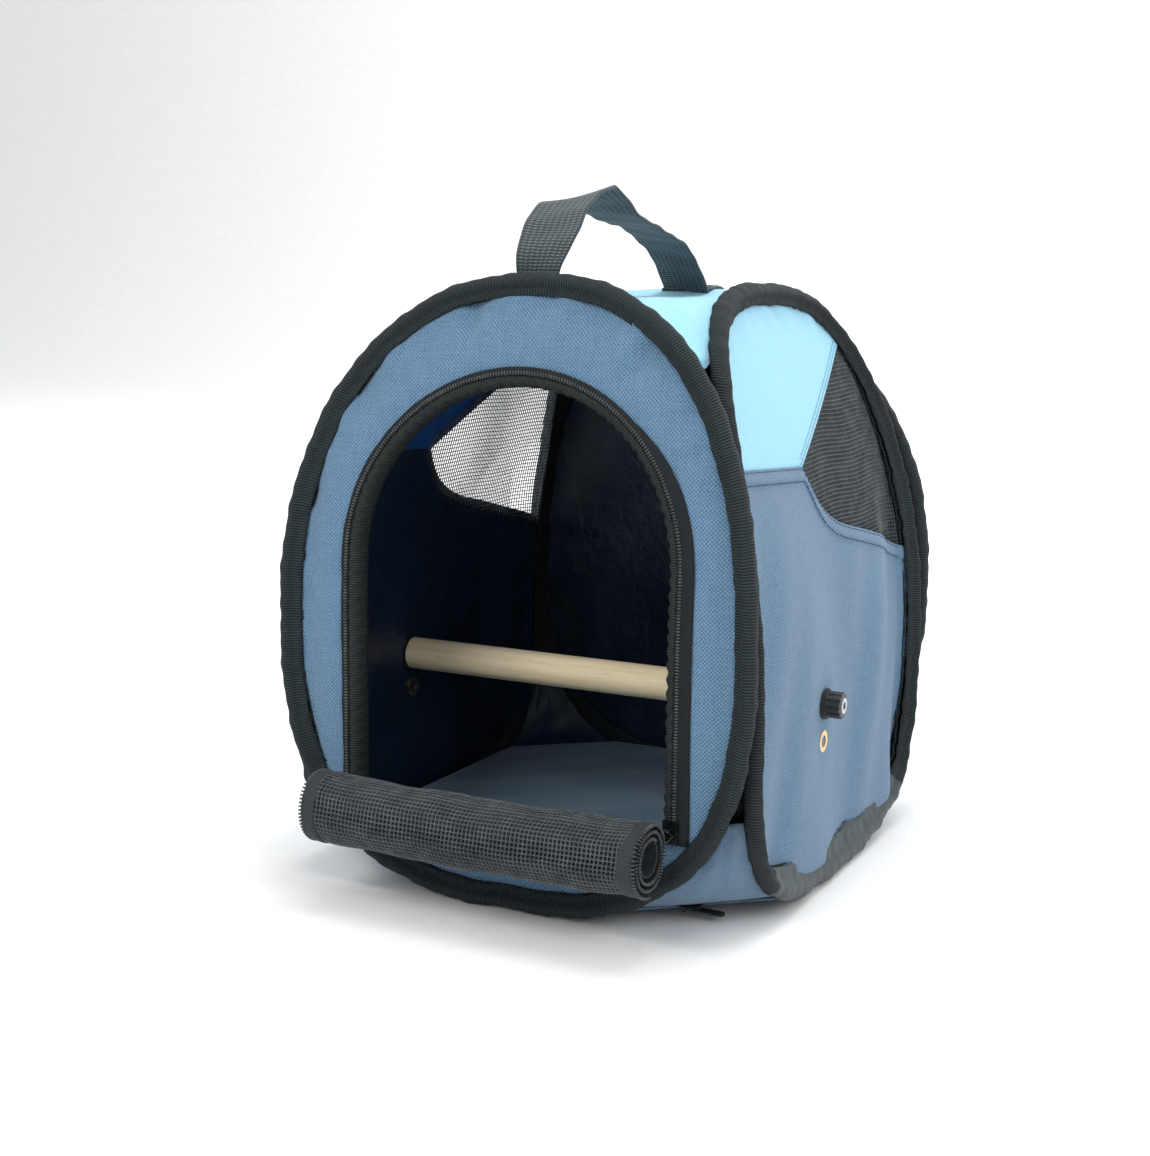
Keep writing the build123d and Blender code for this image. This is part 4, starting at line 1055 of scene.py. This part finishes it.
def doorway():
    tape_rows, tape_uv = [], []
    ref, length = door_path(0.0, 0.004)
    broad = 0.0040 + 0.0050 * rise(ref[:, 0], 0.060, 0.094)
    for k in range(9):
        path, along = door_path(0.010 * k / 8, 0.004)
        share = np.linspace(0, 1, len(ref))
        path = at_shares(path, share)
        grow = 0.0004 + (broad - 0.0004) * k / 8
        path = ref + (path - ref) / (0.010 * k / 8) * grow[:, None] if k else ref + 0.0
        along = share * length[-1]
        wave = bumps(along, (0.019, 0.00018, 0.3), (0.043, 0.00025, 1.0))
        depth = RECESS - 0.0009 - wave - 0.0006 * math.sin(PI * k / 8) + (0.0 if k < 8 else 0.0004)
        rows = place("front", path[:, 0], depth, path[:, 1])
        tape_rows.append(rows)
        tape_uv.append(np.stack([along, grow], -1))
    points = np.array(tape_rows)
    # the panel swells under the tape, so the tape follows it outward
    swell = np.linspace(0, 1, 9)[:, None] ** 1.2 * (0.0005 + 0.0012 * (broad[None] - 0.004) / 0.005)
    points[:, :, 1] -= swell * rise(points[:, :, 2], 0.05, 0.12)
    obj = grid("doorway_tape", points, np.array(tape_uv), ("tape",), False, False)
    thicken(obj, 0.0005, False)
    finish_piece(obj, "carrier", "zip_nylon", "doorway_zip_tape")

    path, along = door_path(0.0013, TOOTH_PITCH)
    centre = place("front", path[:, 0], np.full(len(path), RECESS - 0.0019), path[:, 1])
    tangent = np.gradient(centre, axis=0)
    tangent /= np.linalg.norm(tangent, axis=1)[:, None]
    across = np.cross(tangent, (0, 1, 0))
    across /= np.linalg.norm(across, axis=1)[:, None]
    places = zip(centre, tangent, across, np.cross(across, tangent))
    section = [(-0.00052, 0.7, 0.6), (-0.0003, 1.0, 1.0), (0.0003, 1.0, 1.0), (0.00052, 0.7, 0.6)]
    teeth = zip_teeth("doorway_teeth", places, section, 8, 0.00125, 0.00075)
    finish_piece(teeth, "carrier", "zip_nylon", "doorway_zip_coil")

    rows, uvs = [], []
    path, along = door_path(-0.0001, 0.0012, 0.0505)
    for k, (inward, depth) in enumerate(JAMB_SECTION):
        full = math.sin(PI * min(1, k / 5))
        gather = np.sin(2 * PI * along / 0.0072 + 0.8 * np.sin(along * 60)) * 0.0008 * full
        shrink = (DOOR_HALF - inward - gather) / DOOR_HALF
        x = path[:, 0] * shrink
        z = np.where(path[:, 1] > ARCH_Z, ARCH_Z + (path[:, 1] - ARCH_Z) * shrink, path[:, 1])
        rows.append(place("front", x, depth + gather * 0.6, z))
        uvs.append(np.stack([along, np.full(len(along), k * 0.0018)], -1))
    points = np.array(rows)
    obj = grid("doorway_jamb", points, np.array(uvs), ("jamb",), False, True)
    thicken(obj, 0.0006, False)
    finish_piece(obj, "carrier", "black_binding", "doorway_jamb_tape")


# ---------------------------------------------------------------- the rolled mesh door
def spiral(turns, step, outer, inner, start):
    """Angles and radii of a wound sheet, from its outer end inward."""
    count = int(turns * 2 * PI * (outer + inner) / 2 / step)
    a = np.linspace(0, turns * 2 * PI, count)
    r = outer - (outer - inner) * a / a[-1]
    return start - a, r


def roll_point(x, angle, radius):
    """A point of the roll: a slight sag in the middle and a flattened, uneven section."""
    sag = 0.0022 * (1 - (x / ROLL_HALF) ** 2) - 0.0004
    squeeze = 1 + 0.035 * np.sin(2 * angle + 1.1) - 0.02 * np.sin(3 * angle + x * 25)
    loose = 0.0004 * np.sin(x * 2 * PI / 0.071 + angle * 2) + 0.0003 * np.sin(x * 2 * PI / 0.037 - angle)
    r = (radius + loose) * np.minimum(squeeze, 1.0)
    y = ROLL_Y + r * np.cos(angle)
    z = ROLL_Z + r * np.sin(angle) - sag
    return np.stack([x + 0 * y, y, z], -1)


def wound(xs, angles, radii, lift=0.0, wobble=0.0):
    """The points of a sheet wound into the roll: a row along X at each angle."""
    return np.stack([roll_point(xs + wobble * math.sin(7 * a), np.full(len(xs), a),
        np.full(len(xs), r) + lift) for a, r in zip(angles, radii)])


def run_length(row):
    """Length run from a path's start to each of its points."""
    return np.concatenate([[0], np.cumsum(np.linalg.norm(np.diff(row, axis=0), axis=1))])


def roll_mesh():
    """The outer turns, as open mesh."""
    angles, radii = spiral(1.25, MESH_PITCH, ROLL_R - 0.0004, ROLL_R - 0.0016, -0.55 * PI)
    xs = np.arange(ROLL_LEFT + 0.007, ROLL_RIGHT - 0.006, MESH_PITCH)
    points = wound(xs, angles, radii, wobble=0.0004)
    rows, cols = points.shape[:2]
    firsts = [i * cols + j for i in range(rows - 1) for j in range(cols - 1)]
    cells = [[k, k + 1, k + cols + 1, k + cols] for k in firsts]
    mesh = strands("door_roll_mesh", points.reshape(-1, 3), cells)
    finish_piece(mesh, "rolled_door", "black_mesh", "door_mesh_roll")


def roll_core():
    """The turns below, close wound, seen only through the holes."""
    angles, radii = spiral(3.0, 0.0016, ROLL_R - 0.0024, 0.0095, -0.55 * PI)
    xs = np.linspace(ROLL_LEFT + 0.0075, ROLL_RIGHT - 0.0075, 60)
    points = wound(xs, angles, radii)
    along = run_length(points[:, 0])
    uv = np.stack([np.repeat(xs[None], len(along), 0), np.repeat(along[:, None], len(xs), 1)], -1)
    inner = grid("door_roll_core", points, uv, ("core",), False, False)
    thicken(inner, 0.0007, False)
    finish_piece(inner, "rolled_door", "black_mesh")


def roll_edges():
    """The door's taped edges, wound at both ends of the roll, with their zip coil."""
    for side, sign in (("left", -1), ("right", 1)):
        angles, radii = spiral(3.3, 0.0014, ROLL_R + 0.0003, 0.0082, -0.5 * PI)
        tip = ROLL_RIGHT if sign > 0 else ROLL_LEFT
        xs = tip - sign * np.linspace(0.0086, 0.0, 9)
        lift = np.array([0.0, 0.0005, 0.0006, 0.0006, 0.0006, 0.0006, 0.0006, 0.0005, 0.0001])
        points = wound(xs, angles, radii, lift)
        along = run_length(points[:, 4])
        uv = np.stack([np.repeat(along[:, None], len(xs), 1), np.repeat(xs[None], len(along), 0)], -1)
        tape = grid(f"door_{side}_edge_tape", points, uv, ("hem",), False, sign < 0)
        thicken(tape, 0.0006, False)
        finish_piece(tape, "rolled_door", "black_mesh", *(["door_edge_tapes"] if sign > 0 else []))
        angles, radii = spiral(2.6, TOOTH_PITCH, ROLL_R + 0.0004, 0.0105, -0.5 * PI)
        places = []
        for a, r in zip(angles, radii):
            at = roll_point(np.array([tip]), np.array([a]), np.array([r]))[0]
            radial = np.array([0.0, math.cos(a), math.sin(a)])
            run = np.array([0.0, -math.sin(a), math.cos(a)])
            places.append((at, np.array([1.0 * sign, 0.0, 0.0]), radial, run))
        section = [(-0.0006, 0.8, 0.8), (0.0, 1.0, 1.0), (0.0009, 1.0, 1.0), (0.0013, 0.6, 0.6)]
        teeth = zip_teeth(f"door_{side}_edge_teeth", places, section, 6, 0.0010, 0.00050, sign < 0)
        finish_piece(teeth, "rolled_door", "zip_nylon", *(["door_edge_coils"] if sign > 0 else []))


def hem_strip():
    """The flat strip of the door from the line where it is sewn to the roll."""
    low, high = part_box("door_hem_strip")
    n = 40
    xs = np.linspace(low.x, high.x, n)
    rows = []
    start = np.array([FRONT_FACE - 0.0011, 0.035])
    end = np.array([ROLL_Y + 0.004, ROLL_Z - ROLL_R + 0.0006])
    steps = np.linspace(0, 1, 12)
    for s in steps:
        y = start[0] + (end[0] - start[0]) * s
        belly = math.sin(PI * s)
        ripple = 0.0004 * np.sin(xs * 2 * PI / 0.043) * belly
        z = start[1] + (end[1] - start[1]) * s - 0.0016 * belly + ripple
        rows.append(np.stack([xs, np.full(n, y), z - 0.0008 * s * (1 - (xs / ROLL_HALF) ** 2)], -1))
    points = np.array(rows)
    uv = np.stack([np.repeat(xs[None], 12, 0), np.repeat(steps[:, None] * 0.032, n, 1)], -1)
    obj = grid("door_hem_cloth", points, uv, ("hem",), False, False)
    thicken(obj, 0.0009, False)
    finish_piece(obj, "rolled_door", "black_mesh", "door_hem_strip")


# ---------------------------------------------------------------- handle
# the webbing's two edges, in hoop coordinates (y, z)
HANDLE_LEFT = [
    (-0.1000, 0.3187), (-0.1030, 0.3320), (-0.0975, 0.3500), (-0.0860, 0.3610), (-0.0600, 0.3655),
    (-0.0280, 0.3620), (0.0100, 0.3575), (0.0450, 0.3490), (0.0700, 0.3340), (0.0850, 0.3187),
]
HANDLE_RIGHT = [
    (-0.0990, 0.3187), (-0.1015, 0.3320), (-0.0940, 0.3520), (-0.0820, 0.3635), (-0.0580, 0.3735),
    (-0.0450, 0.3710), (-0.0230, 0.3610), (0.0120, 0.3530), (0.0460, 0.3430), (0.0640, 0.3310),
    (0.0760, 0.3187),
]


def handle():
    edges = []
    for pts, x in ((HANDLE_LEFT, -0.016), (HANDLE_RIGHT, 0.016)):
        route = cubic(pts, 220)
        edges.append(by_length(np.stack([0 * route[:, 0] + x, route[:, 0], route[:, 1]], 1), 0.0012))
    count = len(edges[0][0])
    share = np.linspace(0, 1, count)
    left, right = (at_shares(edge, share) for edge, _ in edges)
    length = (edges[0][1] + edges[1][1]) / 2
    right[:, 0] -= 0.009 * (1 - rise(right[:, 2], 0.322, 0.354)) * (share < 0.4)
    along = share * length
    middle = (left + right) / 2
    tangent = np.gradient(middle, axis=0)
    normal = np.cross(right - left, tangent)
    normal /= np.linalg.norm(normal, axis=1)[:, None]
    across = np.linspace(-1, 1, 25)
    rows = []
    for v in across:
        cup = -0.0011 * (1 - v**2) * hump(along, 0.045, 0.03)
        crease = 0.0011 * hump(along - 0.078, 0.006 * v, 0.004) * (0.6 + 0.4 * v)
        ripple = 0.0005 * np.sin(along * 2 * PI / 0.045 + v) + 0.0003 * np.sin(along * 2 * PI / 0.019 - 2 * v)
        held = rise(along, 0.0, 0.02) * (1 - rise(along, length - 0.03, length - 0.005))
        p = left + (right - left) * (v + 1) / 2
        rows.append(p + normal * ((cup + crease + ripple) * held)[:, None])
    points = np.array(rows)
    uv = np.stack([np.repeat(along[None], len(across), 0),
        np.repeat((across * 0.016)[:, None], len(along), 1)], -1)
    obj = grid("handle_webbing", points, uv, ("webbing",), False, True)
    mod = obj.modifiers.new("thick", "SOLIDIFY")
    mod.thickness, mod.offset = 0.0016, 0.0
    final = bpy.data.meshes.new_from_object(obj.evaluated_get(bpy.context.evaluated_depsgraph_get()))
    obj.modifiers.clear()
    obj.data = final
    final.name = "handle_webbing"
    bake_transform(obj)
    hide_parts("handle_strap", "handle_front_end", "handle_rear_end")

    # the folded ends, sewn down with a box and a cross
    ends = [(-0.0985, -0.0700), (0.0780, 0.1000)]
    rows_all, normals = [], []
    for name, (y0, y1) in zip(("front", "rear"), ends):
        u = np.linspace(-0.016, 0.016, 15)
        v = np.linspace(y0, y1, 14)
        uu, vv = np.meshgrid(u, v)
        z = ROOF_Z + 0.0012 + 0.0003 * np.sin(vv * 700) * np.cos(uu * 120)
        if name == "rear":
            z = z + roof_ridge(vv) + 0.001
        points = np.stack([uu, vv, z], -1)
        patch = grid(f"handle_{name}_patch", points, np.stack([vv, uu], -1), ("webbing",), False, False)
        thicken(patch, 0.0015, False)
        finish_piece(patch, "carrier", "black_webbing", *(["handle_patches"] if name == "front" else []))
        x0, ya, yb = 0.0135, y0 + 0.003, y1 - 0.003
        square = [(-x0, ya), (x0, ya), (x0, yb), (-x0, yb), (-x0, ya)]
        cross = [[(-x0, ya), (x0, yb)], [(x0, ya), (-x0, yb)]]
        for line in [square] + cross:
            pts = np.array(line)
            dense = np.concatenate([np.linspace(pts[k], pts[k + 1], 20) for k in range(len(pts) - 1)])
            zz = np.full(len(dense), ROOF_Z + 0.0016)
            if name == "rear":
                zz = zz + roof_ridge(dense[:, 1]) + 0.001
            rows_all.append(np.stack([dense[:, 0], dense[:, 1], zz], 1))
            normals.append(np.array([0.0, 0.0, 1.0]))
    obj = stitches("handle_stitches", rows_all, normals, "black_thread")
    finish_piece(obj, "carrier", "black_webbing")


# ---------------------------------------------------------------- underside zip
def floor_zip():
    low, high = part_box("floor_zip_tape")
    xs = np.linspace(low.x, high.x, 60)
    ys = np.linspace(low.y, high.y, 9) - SHIFT_Y
    xx, yy = np.meshgrid(xs, ys)
    z = low.z + 0.0001 + 0.0003 * (np.abs(yy - ys[4]) / 0.011) + 0 * xx
    points = np.stack([xx, yy, z], -1)
    obj = grid("pocket_tape", points, np.stack([xx, yy], -1), ("tape",), False, True)
    thicken(obj, 0.0004, False)
    finish_piece(obj, "carrier", "zip_nylon", "floor_zip_tape")
    low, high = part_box("floor_zip_coil")
    axes = np.eye(3)
    y, z = (low.y + high.y) / 2 - SHIFT_Y, (low.z + high.z) / 2
    places = [(np.array([x, y, z]), *axes) for x in np.arange(low.x + 0.0008, high.x - 0.0005, TOOTH_PITCH)]
    section = [(-0.00055, 0.75, 0.75), (-0.0003, 1.0, 1.0), (0.0003, 1.0, 1.0), (0.00055, 0.75, 0.75)]
    teeth = zip_teeth("pocket_teeth", places, section, 8, 0.00125, 0.0006)
    finish_piece(teeth, "carrier", "zip_nylon", "floor_zip_coil")


def cad_finishes():
    """Better materials on the frame's own parts whose shape is right."""
    finishes = {
        "perch": "wood", "perch_inserts": "brass", "right_eyelets": "brass", "left_eyelets": "brass",
        "right_knob": "knob", "left_knob": "knob", "right_knob_screw": "steel", "left_knob_screw": "steel",
        "right_knob_washer": "rubber", "left_knob_washer": "rubber", "door_zip_slider": "enamel",
        "door_zip_bail": "enamel", "door_zip_pull": "enamel", "floor_zip_slider": "enamel",
        "floor_zip_pull": "enamel", "floor_board": "board", "spring_sleeves": "spring",
    }
    for side in HOOPS:
        finishes[side + "_hoop_spring"] = "spring"
    for node, name in finishes.items():
        for k in range(len(NODES[node].material_slots)):
            NODES[node].material_slots[k].material = M[name]


def stage():
    """A pale floor that curves up into the backdrop, and soft lights."""
    rows = []
    ys = np.concatenate([np.linspace(-6, 3.2, 12), 3.2 + 1.8 * np.sin(np.linspace(0, PI / 2, 14)[1:]), [5.0]])
    zs = np.concatenate([np.zeros(12), 1.8 * (1 - np.cos(np.linspace(0, PI / 2, 14)[1:])), [7.0]])
    for y, z in zip(ys, zs):
        rows.append(np.stack([np.linspace(-8, 8, 12), np.full(12, y), np.full(12, z)], -1))
    points = np.array(rows)
    floor_mat = material("studio_paper", 0.9, Specular_IOR_Level=0.15)
    net = Net(floor_mat)
    grain = net.noise(net.place()[0], 40.0, 3.0)
    net.set(Base_Color=net.ramp(grain, (0.3, (0.86, 0.86, 0.86)), (0.7, (0.89, 0.89, 0.89))))
    M["paper"] = floor_mat
    obj = grid("studio_floor", points, points[..., :2], ("paper",), False, False)
    obj.location.z = -0.0002
    bpy.context.scene.view_settings.view_transform = "Standard"
    world = bpy.data.worlds.new("studio")
    bpy.context.scene.world = world
    world.use_nodes = True
    world.node_tree.nodes["Background"].inputs[0].default_value = (0.96, 0.98, 1.0, 1)
    world.node_tree.nodes["Background"].inputs[1].default_value = 0.72
    lamps = [
        ("key", (-0.5, -2.3, 2.2), 1.4, 40.0, (1.0, 0.99, 0.97)),
        ("fill", (2.2, -1.0, 1.7), 1.4, 20.0, (0.97, 0.99, 1.0)),
        ("top", (0.2, 0.3, 2.4), 1.4, 26.0, (1.0, 1.0, 1.0)),
        ("rear", (0.9, 2.4, 1.5), 1.5, 14.0, (1.0, 1.0, 1.0)),
        ("sweep", (0.0, 1.7, 2.8), 2.4, 130.0, (1.0, 1.0, 1.0)),
    ]
    for name, where, size, power, colour in lamps:
        light = bpy.data.lights.new(name, "AREA")
        light.size, light.energy, light.color = size, power, colour
        lamp = bpy.data.objects.new(name, light)
        lamp.location = Vector(where) + Vector((0, SHIFT_Y, 0))
        lamp.rotation_mode = "QUATERNION"
        aim = Vector((0, 5.0, 1.6)) if name == "sweep" else Vector((0, 0, 0.16))
        lamp.rotation_quaternion = (aim - Vector(where)).to_track_quat("-Z", "Y")
        bpy.context.scene.collection.objects.link(lamp)


def camera():
    azimuth, elevation, roll = map(math.radians, (27.26, 9.54, 0.647))
    distance = 1.024
    back = Vector((math.sin(azimuth) * math.cos(elevation), -math.cos(azimuth) * math.cos(elevation),
        math.sin(elevation)))
    target = Vector((-0.0332, SHIFT_Y, 0.1518))
    right = (-back).cross(Vector((0, 0, 1))).normalized()
    up = right.cross(-back).normalized()
    x = right * math.cos(roll) + up * math.sin(roll)
    y = -right * math.sin(roll) + up * math.cos(roll)
    data = bpy.data.cameras.new("camera")
    data.lens, data.sensor_width, data.sensor_fit = 1731 * 36 / 1156, 36.0, "AUTO"
    data.clip_start, data.clip_end = 0.05, 50.0
    cam = bpy.data.objects.new("camera", data)
    turn = Matrix((x, y, back)).transposed().to_4x4()
    cam.matrix_world = Matrix.Translation(target + back * distance) @ turn
    bpy.context.scene.collection.objects.link(cam)
    bpy.context.scene.camera = cam


stage()
camera()
for k, side in enumerate(HOOPS):
    binding(side, 0.7 + k * 1.9)
front_panel()
back_panel()
side_walls()
roof()
floor()
mat()
doorway()
roll_mesh()
roll_core()
roll_edges()
hem_strip()
handle()
floor_zip()
cad_finishes()
bpy.context.view_layer.update()
